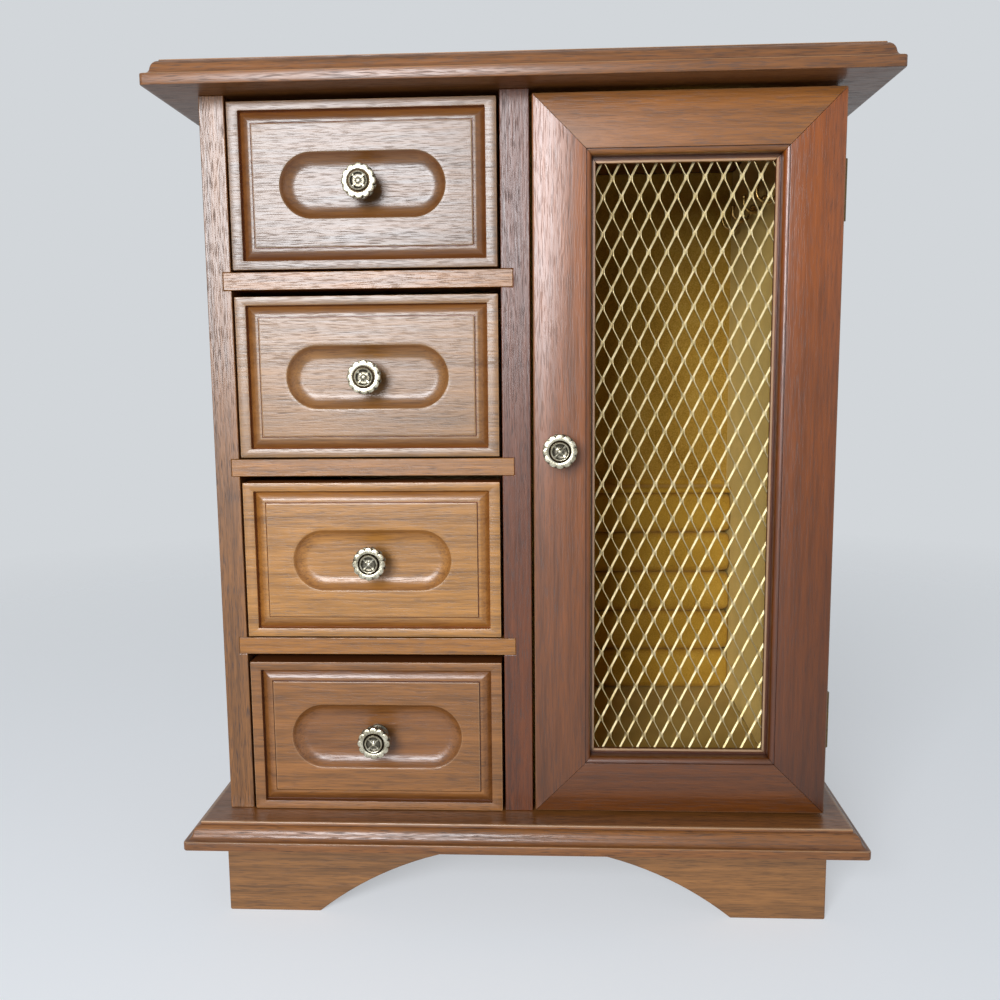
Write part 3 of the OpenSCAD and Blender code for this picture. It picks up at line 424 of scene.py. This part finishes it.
# -----------------------------------------------------------------------------------------------------------
# Cup hooks
# Four small hooks bent from brass wire and screwed through the velvet into the right side, each with a round
# flange and a ball at its tip.
def brass(name, dull, middle, bright, rough_low, rough_high):
    """Yellow brass, drawn or stamped, under old lacquer: bright on its arrises, mottled and softly scratched."""
    material, tree = new_material(name)
    place = add(tree, "ShaderNodeTexCoord").outputs["Object"]
    # mottling 4 mm across, and scratches 0.3 mm apart
    mottle = add(tree, "ShaderNodeTexNoise", {"Vector": place, "Scale": 260.0, "Detail": 4.0}).outputs["Fac"]
    scratch = add(tree, "ShaderNodeTexNoise", {"Vector": place, "Scale": 3300.0, "Detail": 1.0}).outputs["Fac"]
    tone = add(tree, "ShaderNodeMix", {0: 0.5, 2: mottle, 3: scratch}).outputs[0]
    # the per-point value darkens it: patina in the knobs' hollows, and painted shade on their foot and stem
    stain = add(tree, "ShaderNodeAttribute", attribute_name="stain").outputs["Fac"]
    colour = add(tree, "ShaderNodeValToRGB", {"Fac": tone},
                 [(0.34, dull), (0.5, middle), (0.66, bright)]).outputs[0]
    colour = add(tree, "ShaderNodeMix", {0: stain, 6: colour, 7: linear("#1d150d")}, data_type="RGBA").outputs[2]
    gloss = add(tree, "ShaderNodeMapRange", {0: tone, 1: 0.35, 2: 0.65, 3: rough_low, 4: rough_high}).outputs[0]
    bump = add(tree, "ShaderNodeBump", {"Height": scratch, "Strength": 0.25, "Distance": 0.00008})
    surface = add(tree, "ShaderNodeBsdfPrincipled", {
        "Base Color": colour, "Metallic": 1.0, "Roughness": gloss, "Normal": bump.outputs["Normal"]})
    add(tree, "ShaderNodeOutputMaterial", {"Surface": surface.outputs["BSDF"]})
    return material


def tube(path, radii):
    """Rings round a path that lies in a plane of constant y."""
    sides, rings = 14, []
    for i, (p, r) in enumerate(zip(path, radii)):
        before, after = path[max(0, i - 1)], path[min(len(path) - 1, i + 1)]
        t = Vector((after[0] - before[0], 0, after[2] - before[2])).normalized()
        side, up = Vector((0, 1, 0)), t.cross(Vector((0, 1, 0)))
        rings.append([tuple(Vector(p) + r * (side * math.cos(a) + up * math.sin(a)))
                      for a in (2 * math.pi * k / sides for k in range(sides))])
    return rings


hook_brass = brass("hook_brass", "#8a6a35", "#b8924f", "#dcbc7a", 0.25, 0.4)
wire, bend, tip, neck, turn = 0.8, 4.6, 2.6, 2.4, 0.7
points, faces = [], []
for k in range(4):
    x0, y0, z0 = 119.0, 56 + 30 * k, 276.0
    path = [(x0 + 6, y0, z0), (x0 + 0.05, y0, z0), (x0, y0, z0)]
    radii = [wire, wire, wire]
    # flange on the velvet, then the wire again
    for dx, r in ((0, 2.4), (-0.25, 2.6), (-0.55, 2.6), (-0.8, 2.3), (-0.85, wire)):
        path.append((x0 + dx, y0, z0))
        radii.append(r)
    # down in a close turn, round the hook itself, and the ball at its tip
    for a in (0, 0.5, 1.0, 1.57):
        path.append((x0 - neck + turn - turn * math.sin(a), y0, z0 - turn + turn * math.cos(a)))
        radii.append(wire)
    for i in range(17):
        a = math.pi * i / 16
        path.append((x0 - neck - bend + bend * math.cos(a), y0, z0 - tip - bend * math.sin(a)))
        radii.append(wire)
    for dz, r in ((-0.9, wire), (-0.85, 0.9), (-0.5, 1.12), (0, 1.2), (0.5, 1.12), (0.9, 0.8), (1.15, 0.3)):
        path.append((x0 - neck - 2 * bend, y0, z0 + dz))
        radii.append(r)
    new_points, new_faces = skin(tube(path, radii))
    faces += [tuple(i + len(points) for i in face) for face in new_faces]
    points += new_points
make_piece("wall_hooks", points, faces, "case", hook_brass, "brass", ["wall_hooks"], crease=50)


# -----------------------------------------------------------------------------------------------------------
# Hinges and magnetic catch
# Two small butt hinges of pressed brass, three knuckles on a pin, one leaf on the case side and one on the back
# of the door. The catch is a magnet in a brown plastic housing, with a zinc-plated steel plate on the door.
# painted shade: the hinges get a darkened copy of the hooks' brass, so that the knuckles sit dark at the door's
# right edge
shaded_hinge_brass = brass("shaded_hinge_brass", "#4d3b22", "#66512f", "#83693f", 0.3, 0.45)
for node in ("hinge_case_leaves", "hinge_door_leaves", "hinge_pins", "hinge_case_screws", "hinge_door_screws"):
    finish_node(node, shaded_hinge_brass, 0.08)

# zinc-plated sheet steel: a cold pale grey with a faint cloudy spangle 2 mm across
plate_steel, tree = new_material("zinc_plated_steel")
place = add(tree, "ShaderNodeTexCoord").outputs["Object"]
spangle = add(tree, "ShaderNodeTexNoise", {"Vector": place, "Scale": 500.0, "Detail": 3.0}).outputs["Fac"]
colour = add(tree, "ShaderNodeValToRGB", {"Fac": spangle}, [(0.35, "#8f9194"), (0.65, "#b9bbbd")]).outputs[0]
gloss = add(tree, "ShaderNodeMapRange", {0: spangle, 1: 0.3, 2: 0.7, 3: 0.3, 4: 0.45}).outputs[0]
surface = add(tree, "ShaderNodeBsdfPrincipled", {"Base Color": colour, "Metallic": 1.0, "Roughness": gloss})
add(tree, "ShaderNodeOutputMaterial", {"Surface": surface.outputs["BSDF"]})

# ABS from a spark-eroded mould: dark brown with a dull fine sparkle, its grain of 0.5 mm drawn coarse to show
catch_abs, tree = new_material("moulded_abs")
place = add(tree, "ShaderNodeTexCoord").outputs["Object"]
spark = add(tree, "ShaderNodeTexNoise", {"Vector": place, "Scale": 1800.0, "Detail": 2.0}).outputs["Fac"]
colour = add(tree, "ShaderNodeValToRGB", {"Fac": spark}, [(0.3, "#3a2418"), (0.7, "#4a3122")]).outputs[0]
gloss = add(tree, "ShaderNodeMapRange", {0: spark, 1: 0.3, 2: 0.7, 3: 0.38, 4: 0.5}).outputs[0]
bump = add(tree, "ShaderNodeBump", {"Height": spark, "Strength": 0.3, "Distance": 0.0001})
surface = add(tree, "ShaderNodeBsdfPrincipled", {
    "Base Color": colour, "IOR": 1.53, "Roughness": gloss, "Normal": bump.outputs["Normal"]})
add(tree, "ShaderNodeOutputMaterial", {"Surface": surface.outputs["BSDF"]})
finish_node("magnet_catch", catch_abs, 0.5)
finish_node("catch_plate", plate_steel, 0.1)


# -----------------------------------------------------------------------------------------------------------
# Door frame
# Two stiles and two rails of the same hardwood, moulded along the inner edge with a small step, a rounded bead
# and a narrow fillet, mitred and glued at the corners. The step and the bead's foot are darkened as gathered
# stain and painted shade, and the inner wall down to the mesh as painted shade; the fillet's inner edge is paler.
def cut_away(piece, cutters):
    """Saws and bores a piece: cutters are closed solids as points and faces in the case's millimetres."""
    mesh = bpy.data.meshes.new("cutter")
    points, faces = [], []
    for more_points, more_faces in cutters:
        faces += [tuple(i + len(points) for i in face) for face in more_faces]
        points += [case_mm(*p) for p in more_points]
    mesh.from_pydata(points, [], faces)
    shape = bmesh.new()
    shape.from_mesh(mesh)
    bmesh.ops.recalc_face_normals(shape, faces=shape.faces)
    shape.to_mesh(mesh)
    shape.free()
    cutter = bpy.data.objects.new("cutter", mesh)
    bpy.context.scene.collection.objects.link(cutter)
    cut = piece.modifiers.new("cut", "BOOLEAN")
    cut.operation, cut.solver, cut.object = "DIFFERENCE", "EXACT", cutter
    bpy.context.view_layer.update()
    result = bpy.data.meshes.new_from_object(piece.evaluated_get(bpy.context.evaluated_depsgraph_get()))
    piece.modifiers.remove(cut)
    piece.data = result
    bpy.data.objects.remove(cutter)


def round_bar(x, z, y0, y1, r):
    """A cylinder along y, as points and faces."""
    turns = [2 * math.pi * k / 24 for k in range(24)]
    return skin([[(x + r * math.cos(a), y, z + r * math.sin(a)) for a in turns] for y in (y0, y1)])


def square_bar(low, high):
    """A box between two corners, as points and faces."""
    (x0, y0, z0), (x1, y1, z1) = low, high
    return skin([[(x0, y, z0), (x1, y, z0), (x1, y, z1), (x0, y, z1)] for y in (y0, y1)])


door_x0, door_x1, door_z0, door_z1, door_y = 5.75, 131.0, 1.2, 304.0, -2.0
flat, step, bead_r, fillet_y, mesh_y, thick, rebate = 21.9, 0.8, 2.2, 7.2, 9.5, 12.5, 21.3


def member_profile(fillet):
    """Distance from the outer edge, depth from the face, and darkening (gathered stain and painted shade), round
    a member's section.
    """
    points = [(0, thick - 0.4, 0), (0, 0.7, 0), (0.1, 0.3, -0.1), (0.32, 0.1, -0.1), (0.7, 0, 0),
              (flat - 0.35, 0, 0), (flat - 0.1, 0.06, 0.1), (flat, 0.3, 0.7), (flat, step, 1.0)]
    points += [(flat + bead_r * math.sin(a), step + bead_r * (1 - math.cos(a)), max(0, 0.8 - 2.2 * a))
               for a in (0.12, 0.35, 0.6, 0.85, 1.1, 1.35, 1.571)]
    foot, inner = flat + bead_r, flat + bead_r + fillet
    return points + [(foot, 5.0, 0.6), (foot, fillet_y - 0.1, 1.0), (foot + 0.1, fillet_y, 0.9),
                     (inner - 1.1, fillet_y, 0.6), (inner - 0.85, fillet_y, -0.35),
                     (inner - 0.25, fillet_y, -0.55), (inner, fillet_y + 0.25, -0.2), (inner, mesh_y, 1.0),
                     (rebate, mesh_y, 0), (rebate, thick, 0), (0.4, thick, 0)]


def door_member(name, length, to_case, material, fillet=1.8):
    """One mitred member: every line of the moulding ends on the 45 degree joint, with a hair of a gap."""
    gap = 0.11
    profile = member_profile(fillet)
    rings = [[to_case(u, door_y + y, along(u)) for u, y, _ in profile]
             for along in (lambda u: u + gap, lambda u: length - u - gap)]
    return make_piece(name, *skin(rings), "door", material, "stained_wood", [name],
                      [dark for _, _, dark in profile] * 2)


# painted light and shade: one hardwood in four tones, lighter on the top rail and the knob stile and darker on
# the bottom rail and the hinge stile, as from a light at the upper left; foot and head paint the stiles darker
# towards the foot and lighter towards the top
knob_stile_wood = lacquered_wood("knob_stile_wood", "Z", "#6a3913", "#81471a", "#8f4f1e", ring_mm=7, shift=0.25,
                                 foot=0.52, head=1.12)
hinge_stile_shaded_wood = lacquered_wood("hinge_stile_shaded_wood", "Z", "#5d2d06", "#6e3609", "#7a3d0b", ring_mm=6, shift=0.9,
                                  foot=0.42, head=1.5)
top_rail_wood = lacquered_wood("top_rail_wood", "X", "#6f4319", "#83501f", "#915923", ring_mm=8, shift=0.33)
bottom_rail_shaded_wood = lacquered_wood("bottom_rail_shaded_wood", "X", "#4c2606", "#5a2e08", "#64340a", ring_mm=7, shift=0.6)
tall, wide = door_z1 - door_z0, door_x1 - door_x0
knob_stile = door_member("door_knob_stile", tall, lambda u, y, s: (door_x0 + u, y, door_z0 + s), knob_stile_wood)
door_member("door_hinge_stile", tall, lambda u, y, s: (door_x1 - u, y, door_z0 + s), hinge_stile_shaded_wood)
door_member("door_bottom_rail", wide, lambda u, y, s: (door_x0 + s, y, door_z0 + u), bottom_rail_shaded_wood)
door_member("door_top_rail", wide, lambda u, y, s: (door_x0 + s, y, door_z1 - u), top_rail_wood, fillet=2.4)
door_knob_x, door_knob_z, screw_hole_r, counterbore_r = 16.7, 160.6, 1.6, 3.4
cut_away(knob_stile, [round_bar(door_knob_x, door_knob_z, -4, 12, screw_hole_r),
                      round_bar(door_knob_x, door_knob_z, 8.1, 12, counterbore_r)])
finish_node("mesh_strips", side_wood, 0.3)


# -----------------------------------------------------------------------------------------------------------
# Door mesh
# Expanded brass: a thin sheet slit in rows and pulled wide, so that flat strands run in zigzags and meet in bonds
# two strands wide. Each strand is turned by the pulling, its right edge forward. Held by strips in the rebate.
mesh_brass = brass("mesh_brass", "#b8a26c", "#d3c192", "#e6d7ad", 0.44, 0.56)
pitch_x, pitch_z = 3.8, 14.95
bond_x, bond_z = 34.85, 264.3
strand_w, strand_t, chamfer, half_bond = 1.0, 0.36, 0.1, 0.85
bond_turn, open_turn, edge_turn = math.radians(34), math.radians(26), math.radians(78)
plane_y, tuck, shortest = 7.9, 0.4, 0.8
low_x, high_x, low_z, high_z = 31.05 - tuck, 105.7 + tuck, 26.5 - tuck, 278.7 + tuck
half_w, half_t = strand_w / 2, strand_t / 2
section = [(half_w, half_t - chamfer), (half_w - chamfer, half_t), (-half_w + chamfer, half_t),
           (-half_w, half_t - chamfer), (-half_w, -half_t + chamfer), (-half_w + chamfer, -half_t),
           (half_w - chamfer, -half_t), (half_w, -half_t + chamfer)]


def width_line(turn):
    """The direction across a strand that is turned about the vertical, its right edge forward."""
    return Vector((math.cos(turn), -math.sin(turn), 0))


def runs_inside(path):
    """The parts of a path inside the door's opening, ending just behind the frame's edge."""
    box = ((0, low_x, high_x), (2, low_z, high_z))
    runs, run = [], []
    for a, b in zip(path, path[1:]):
        start, end = 0.0, 1.0
        for axis, low, high in box:
            delta = b[axis] - a[axis]
            if abs(delta) < 1e-9:
                if not low <= a[axis] <= high:
                    start, end = 1.0, 0.0
                continue
            t0, t1 = sorted(((low - a[axis]) / delta, (high - a[axis]) / delta))
            start, end = max(start, t0), min(end, t1)
        if start < end:
            if not run:
                run = [a.lerp(b, start)]
            run.append(a.lerp(b, end))
        if (start >= end or end < 1) and run:
            runs.append(run)
            run = []
    return runs + ([run] if run else [])


points, faces = [], []
for column in range(-2, 21):
    left_x, right_x = bond_x + pitch_x * column, bond_x + pitch_x * (column + 1)
    path = []
    for row in range(-2, 36):
        at_left = (row + column) % 2 == 0
        z = bond_z + pitch_z - pitch_z / 2 * row
        edge = width_line(bond_turn) * half_w
        centre = Vector((left_x, plane_y, z)) + edge if at_left else Vector((right_x, plane_y, z)) - edge
        top_end, low_end = (Vector((centre.x, centre.y, z + dz, bond_turn)) for dz in (half_bond, -half_bond))
        if path:
            for share in (0.14, 0.86):
                point = low_before.lerp(top_end, share)
                # strands that run down to the right are turned on edge, the others lie almost flat
                point[3] = open_turn if at_left else edge_turn
                path.append(point)
        path += [top_end, low_end]
        low_before = low_end
    for run in runs_inside(path):
        if (run[0] - run[-1]).length < shortest:
            continue
        rings = []
        for i, p in enumerate(run):
            t = (run[min(i + 1, len(run) - 1)] - run[max(i - 1, 0)]).to_3d().normalized()
            across = width_line(p[3])
            side = (across - across.dot(t) * t).normalized()
            face = side.cross(t)
            rings.append([tuple(p.to_3d() + side * a + face * b) for a, b in section])
        new_points, new_faces = skin(rings)
        faces += [tuple(i + len(points) for i in f) for f in new_faces]
        points += new_points
make_piece("door_mesh", points, faces, "door", mesh_brass, "brass_mesh", ["door_mesh"], crease=40)


# -----------------------------------------------------------------------------------------------------------
# Knobs
# Die-cast knobs, plated and toned to antique brass: a foot, a waisted stem and a head of two toothed layers, half
# a tooth apart, with a rim, a ring groove and a boss with a cross. A wood screw from behind holds each one.
knob_brass = brass("antique_brass", "#7a705a", "#bab29a", "#e2dcc8", 0.2, 0.36)


def knob(name, x, z, seat_y, wood, body):
    """Rings from the foot to the boss: radius, height above the seat, tooth depth, tooth phase, and patina; the
    foot and the stem under the head are darkened as painted shade.
    """
    rings, stain = [], []
    round_points, teeth, tooth_h, cross_h = 144, 12, 0.85, 0.4
    steps = [(4.3, 0, 0, 0, 0.9), (4.6, 0.2, 0, 0, 0.8), (4.6, 0.9, 0, 0, 0.75), (4.3, 1.2, 0, 0, 0.8),
             (3.1, 1.5, 0, 0, 0.9), (2.7, 3.5, 0, 0, 0.8), (2.9, 6.5, 0, 0, 0.8), (4.0, 8.1, 0, 0, 0.9),
             (6.0, 8.6, 0, 0, 0.9), (6.85, 8.65, 1, 1, 0.7), (7.1, 8.9, 1, 1, 0.55), (7.1, 10.0, 1, 1, 0.6),
             (6.9, 10.2, 1, 1, 0.8), (6.0, 10.3, 0, 0, 1.0), (6.85, 10.4, 1, 0, 0.8), (7.05, 10.6, 1, 0, 0.5),
             (7.1, 11.6, 1, 0, 0.1), (6.95, 11.95, 1, 0, 0.0), (6.6, 12.1, 0.9, 0, 0.0), (5.6, 12.15, 0, 0, 0.0),
             (4.8, 12.15, 0, 0, 0.0), (4.6, 12.05, 0, 0, 0.6), (4.5, 11.6, 0, 0, 1.0), (4.05, 11.6, 0, 0, 1.0),
             (3.95, 12.3, 0, 0, 0.6), (3.8, 12.75, 0, 0, 0.0), (3.55, 12.95, 0, 0, 0.0), (3.35, 12.9, 0, 0, 0.1),
             (3.1, 12.6, 0, 0, 0.7), (2.9, 12.2, 0, 0, 0.9), (2.5, 12.05, 0, 0, 0.85), (1.9, 12.0, 0, 0, 0.8),
             (1.2, 12.05, 0, 0, 0.75), (0.8, 12.3, 0, 0, 0.4), (0.5, 12.5, 0, 0, 0.0), (0.15, 12.55, 0, 0, 0.0)]
    for r, h, depth, phase, patina_and_shade in steps:
        ring = []
        for k in range(round_points):
            a = 2 * math.pi * k / round_points
            lobe = abs(math.cos(teeth / 2 * a + math.pi / 2 * phase)) ** 0.5
            q = r - tooth_h * depth * (1 - lobe)
            # the cross stands up from the dish, and its ridges are rubbed bright
            off = abs((a + math.pi / 2) % (math.pi / 2) - math.pi / 4) * max(r, 0.5)
            on_cross = 0.6 < r < 3.0 and off < 0.4
            ring.append((x + q * math.cos(a), seat_y - h - cross_h * on_cross, z + q * math.sin(a)))
            stain.append(0.3 if on_cross else min(1.0, patina_and_shade + 0.5 * depth * (1 - lobe)))
        rings.append(ring)
    points, faces = skin(rings)
    # the screw: thread in the knob's stem, head in its counterbore behind the wood
    y1 = seat_y + wood
    turns = [2 * math.pi * k / 32 for k in range(32)]
    screw = ((0.2, seat_y - 2.0), (1.5, seat_y - 1.0), (1.5, y1 - 2), (3.0, y1 - 2), (3.0, y1 - 0.7),
             (2.6, y1 - 0.2), (1.8, y1), (0.2, y1))
    screw_points, screw_faces = skin([[(x + r * math.cos(a), y, z + r * math.sin(a)) for a in turns]
                                      for r, y in screw])
    faces += [tuple(i + len(points) for i in face) for face in screw_faces]
    points += screw_points
    stain += [0.4] * len(screw_points)
    make_piece(name, points, faces, body, knob_brass, "antique_brass", [name], stain, crease=38)


knob("door_knob", door_knob_x, door_knob_z, door_y, 12.1, "door")


# -----------------------------------------------------------------------------------------------------------
# Drawers
# Each is a box of pale wood with a plywood bottom in grooves and a stained front let over its sides. The front is
# routed with a groove round a raised field and an oval finger recess. The box is lined with the same velvet.
drawer_x, front_w, front_h, front_t, face_y = -64.0, 110.6, 67.425, 12.0, -1.0
side_out, side_t, side_h, bottom_half_w, recess_y = 55.3, 6, 56, 50.3, 3.4
# the stain took differently on each front: dark, middle, pale and gathered
front_tones = {1: ("#54381a", "#6b4823", "#795229", "#7a3e14"), 2: ("#684823", "#845c2f", "#956836", "#7a3e14"),
               3: ("#7e5526", "#9f6d32", "#b37b39", "#7a3e14"), 4: ("#68421d", "#845527", "#95602d", "#5a2c10")}
box_side_wood = plain_wood("drawer_side_wood", "Y", "#b08a5a", "#cdae80")
box_back_wood = plain_wood("drawer_back_wood", "X", "#b08a5a", "#cdae80")
drawer_velvet = velvet("drawer_velvet", "#916a20", "#c2963a", "#d8b056")


def drawer_front(n, z0, recess_l, recess_h, soaked):
    """Rings from the back of the front over its edge, through the groove and over the field into the recess."""
    half_w, half_h = front_w / 2, front_h / 2
    # inset at the ends, inset above and below, depth, corner radius, and darkening: painted shade on the front's
    # edges in the gap round it, gathered stain with painted shade down the groove and on its walls, and below 0
    # paler arrises
    steps = [(0, 0, front_t, 0.3, 0.9), (0, 0, 0.6, 0.3, 0.9), (0, 0, 0.3, 0.3, 0.5), (0.04, 0.04, 0.15, 0.3, 0),
             (0.15, 0.15, 0.04, 0.35, -0.3), (0.35, 0.35, 0, 0.4, 0), (4.45, 3.45, 0, 0.5, 0),
             (4.56, 3.56, 0.04, 0.4, 0.1), (4.6, 3.6, 0.16, 0.35, 0.5), (4.62, 3.62, 2.45, 0.3, 0.9),
             (4.75, 3.75, 2.6, 0.3, 0.9)]
    steps += [(4.8 + 3.8 * t, 3.8 + 3.8 * t, 0.6 + 2.0 * (1 - t) ** 1.6, 0.3, 0.5 - 0.35 * t)
              for t in (0.05, 0.15, 0.25, 0.35, 0.45, 0.55, 0.65, 0.75, 0.85, 0.94)]
    steps += [(8.7, 7.7, 0.6, 0.3, 0), (9.4, 8.4, 0.6, 0.3, 0), (9.5, 8.5, 0.75, 0.3, 0.9),
              (9.56, 8.56, 0.95, 0.3, 1.0), (9.8, 8.8, 0.95, 0.3, 1.0), (9.84, 8.84, 0.2, 0.3, 0.8),
              (9.92, 8.92, 0.06, 0.35, -0.3), (10.1, 9.1, 0, 0.4, -0.1), (10.5, 9.5, 0, 1.0, 0),
              (11.5, 10.5, 0, 1.0, 0)]
    rings, stain = [], []
    for ix, iz, depth, r, dark in steps:
        ring = rounded_rectangle(half_w - ix, half_h - iz, r, 14)
        rings.append([(drawer_x + x, face_y + depth, z0 + half_h + z) for x, z in ring])
        stain += [dark] * len(ring)
    hollow = [(-1.5, 0, 0), (-0.3, 0, 0), (-0.12, 0.03, -0.2), (0.0, 0.12, -0.2), (0.1, 0.3, 0.2)]
    # the wall is a hollow of 7 mm radius that runs out into the flat floor, darkened towards its rim as painted
    # shade of the recess; the floor takes the front's soaked stain
    hollow += [(6.0 - 7 * math.sin(a), recess_y - 7 * (1 - math.cos(a)), max(soaked, 0.35 * a)) for a in
               (0.97, 0.87, 0.76, 0.65, 0.54, 0.43, 0.32, 0.2, 0.1, 0)]
    hollow += [(7.5, recess_y, soaked)]
    for inset, depth, dark in hollow:
        h = recess_h / 2 - inset
        ring = rounded_rectangle(recess_l / 2 - inset, h, h * 0.9995, 14)
        rings.append([(drawer_x + x, face_y + depth, z0 + half_h + z) for x, z in ring])
        stain += [dark] * len(ring)
    name = f"drawer_{n}_front"
    wood = lacquered_wood(f"{name}_wood", "X", *front_tones[n], ring_mm=7.5, shift=0.05 + 0.37 * n)
    front = make_piece(name, *skin(rings), f"drawer_{n}", wood, "drawer_front_wood", [name], stain, crease=30)
    back = face_y + front_t
    knob_z = z0 + half_h
    # sawn and bored from behind: two rebates for the sides, a groove for the bottom, and the screw's two holes
    bars = ((-side_out - 1, -side_out + side_t, back - 6, z0 - 1, z0 + side_h),
            (side_out - side_t, side_out + 1, back - 6, z0 - 1, z0 + side_h),
            (-bottom_half_w, bottom_half_w, back - 3, z0 + 4, z0 + 7))
    cuts = [square_bar((drawer_x + x0, y0, low), (drawer_x + x1, back + 1, high))
            for x0, x1, y0, low, high in bars]
    cuts += [round_bar(drawer_x, knob_z, face_y + 3, back - 1, screw_hole_r),
             round_bar(drawer_x, knob_z, back - 2.4, back + 1, counterbore_r)]
    for cut in cuts:
        cut_away(front, [cut])
    knob(f"drawer_{n}_knob", drawer_x, knob_z, face_y + recess_y, 8.2, f"drawer_{n}")


def drawer_lining(n, z0):
    """A tray of velvet over card: thin walls with a rolled upper edge and a softly padded floor."""
    half_x, y0, y1, low, high = 49.3, face_y + 12, face_y + 175, z0 + 7, z0 + 47
    mid_y, half_y = (y0 + y1) / 2, (y1 - y0) / 2
    steps = [(0.3, low), (0.0, low + 0.3), (0.0, high - 0.5), (0.15, high - 0.15), (0.5, high),
             (0.85, high - 0.15), (1.15, high - 0.6), (1.2, high - 2), (1.2, low + 3.2), (1.4, low + 1.9),
             (2.2, low + 1.35), (3.5, low + 1.5), (6.0, low + 1.8), (11.0, low + 1.95), (20.0, low + 2.0)]
    rings = []
    for inset, z in steps:
        ring = rounded_rectangle(half_x - inset, half_y - inset, max(0.4, min(3, inset)), 5)
        rings.append([(drawer_x + x, mid_y + y, z) for x, y in ring])
    name = f"drawer_{n}_lining"
    piece = make_piece(name, *skin(rings), f"drawer_{n}", drawer_velvet, "gold_velvet", [name], crease=50)


# number, height of the front's lower edge, length and height of the recess, and how much stain it took
for n, z0, recess_l, recess_h, soaked in ((1, 236.175, 68.5, 26.5, 0), (2, 157.75, 68.5, 26.5, 0),
                                          (3, 79.325, 68.5, 26.5, 0), (4, 0.3, 75.3, 29.0, 0.28)):
    drawer_front(n, z0, recess_l, recess_h, soaked)
    drawer_lining(n, z0)
    finish_node(f"drawer_{n}_sides", box_side_wood, 0.4)
    finish_node(f"drawer_{n}_back", box_back_wood, 0.4)
    finish_node(f"drawer_{n}_bottom", box_back_wood, 0.2)


# -----------------------------------------------------------------------------------------------------------
# Floor, backdrop and lamps
# A plain pale floor that keeps the shadow and fades into an even pale background, a large soft light at the upper
# left as from a window, and a weak fill from the right.
floor_paint, tree = new_material("pale_floor")
place = add(tree, "ShaderNodeTexCoord").outputs["Object"]
away = add(tree, "ShaderNodeVectorMath", {0: place}, operation="LENGTH").outputs["Value"]
matt = add(tree, "ShaderNodeBsdfPrincipled", {"Base Color": linear("#bfc1c3"), "Roughness": 0.9, "IOR": 1.45,
                                              "Specular IOR Level": 0.2})


def seen_ray(tree):
    """1 for what the camera sees, also in a mirror or through glass, and 0 for the light that falls on things."""
    path = add(tree, "ShaderNodeLightPath")
    seen = add(tree, "ShaderNodeMath", {0: path.outputs["Is Camera Ray"], 1: path.outputs["Is Glossy Ray"]},
               operation="MAXIMUM").outputs[0]
    return add(tree, "ShaderNodeMath", {0: seen, 1: path.outputs["Is Transmission Ray"]},
               operation="MAXIMUM").outputs[0]


strength = add(tree, "ShaderNodeMapRange", {0: seen_ray(tree), 1: 0, 2: 1, 3: 0, 4: 0.6}).outputs[0]
glow = add(tree, "ShaderNodeEmission", {"Color": linear("#d2d6da"), "Strength": strength})
lit = add(tree, "ShaderNodeAddShader", {0: matt.outputs["BSDF"], 1: glow.outputs["Emission"]})
gone = add(tree, "ShaderNodeBsdfTransparent")
faded = add(tree, "ShaderNodeMapRange", {0: away, 1: 0.3, 2: 1.05}).outputs[0]
fade = add(tree, "ShaderNodeMixShader", {0: faded, 1: lit.outputs["Shader"], 2: gone.outputs["BSDF"]})
add(tree, "ShaderNodeOutputMaterial", {"Surface": fade.outputs["Shader"]})
floor_mesh = bpy.data.meshes.new("studio_floor")
rim = [(2.8 * math.cos(2 * math.pi * k / 96), 2.8 * math.sin(2 * math.pi * k / 96), 0.0) for k in range(96)]
floor_mesh.from_pydata(rim, [], [tuple(range(96))])
floor_mesh.materials.append(floor_paint)
studio_floor = bpy.data.objects.new("studio_floor", floor_mesh)
bpy.context.scene.collection.objects.link(studio_floor)

world = bpy.data.worlds.new("studio_backdrop")
bpy.context.scene.world = world
world.use_nodes = True
tree = world.node_tree
tree.nodes.clear()
ambient = add(tree, "ShaderNodeBackground", {"Color": linear("#e6ebf2"), "Strength": 0.24})
backdrop = add(tree, "ShaderNodeBackground", {"Color": linear("#d2d6da"), "Strength": 1.0})
both = add(tree, "ShaderNodeMixShader", {0: seen_ray(tree), 1: ambient.outputs[0], 2: backdrop.outputs[0]})
add(tree, "ShaderNodeOutputWorld", {"Surface": both.outputs[0]})


def soft_lamp(name, place, aim, size, watts, colour):
    light = bpy.data.lights.new(name, "AREA")
    light.shape = "RECTANGLE"
    light.size, light.size_y = size
    light.energy = watts
    light.color = linear(colour)[:3]
    lamp = bpy.data.objects.new(name, light)
    bpy.context.scene.collection.objects.link(lamp)
    lamp.location = place
    lamp.rotation_euler = (Vector(aim) - Vector(place)).to_track_quat("-Z", "Y").to_euler()


soft_lamp("window_light", (-0.33, -1.25, 0.52), (0, 0, 0.2), (0.50, 0.56), 19.0, "#f5f9ff")
soft_lamp("fill_light", (1.5, -1.3, 0.7), (0, 0, 0.2), (1.2, 1.2), 2.5, "#eef3ff")
bpy.context.scene.view_settings.view_transform = "Standard"
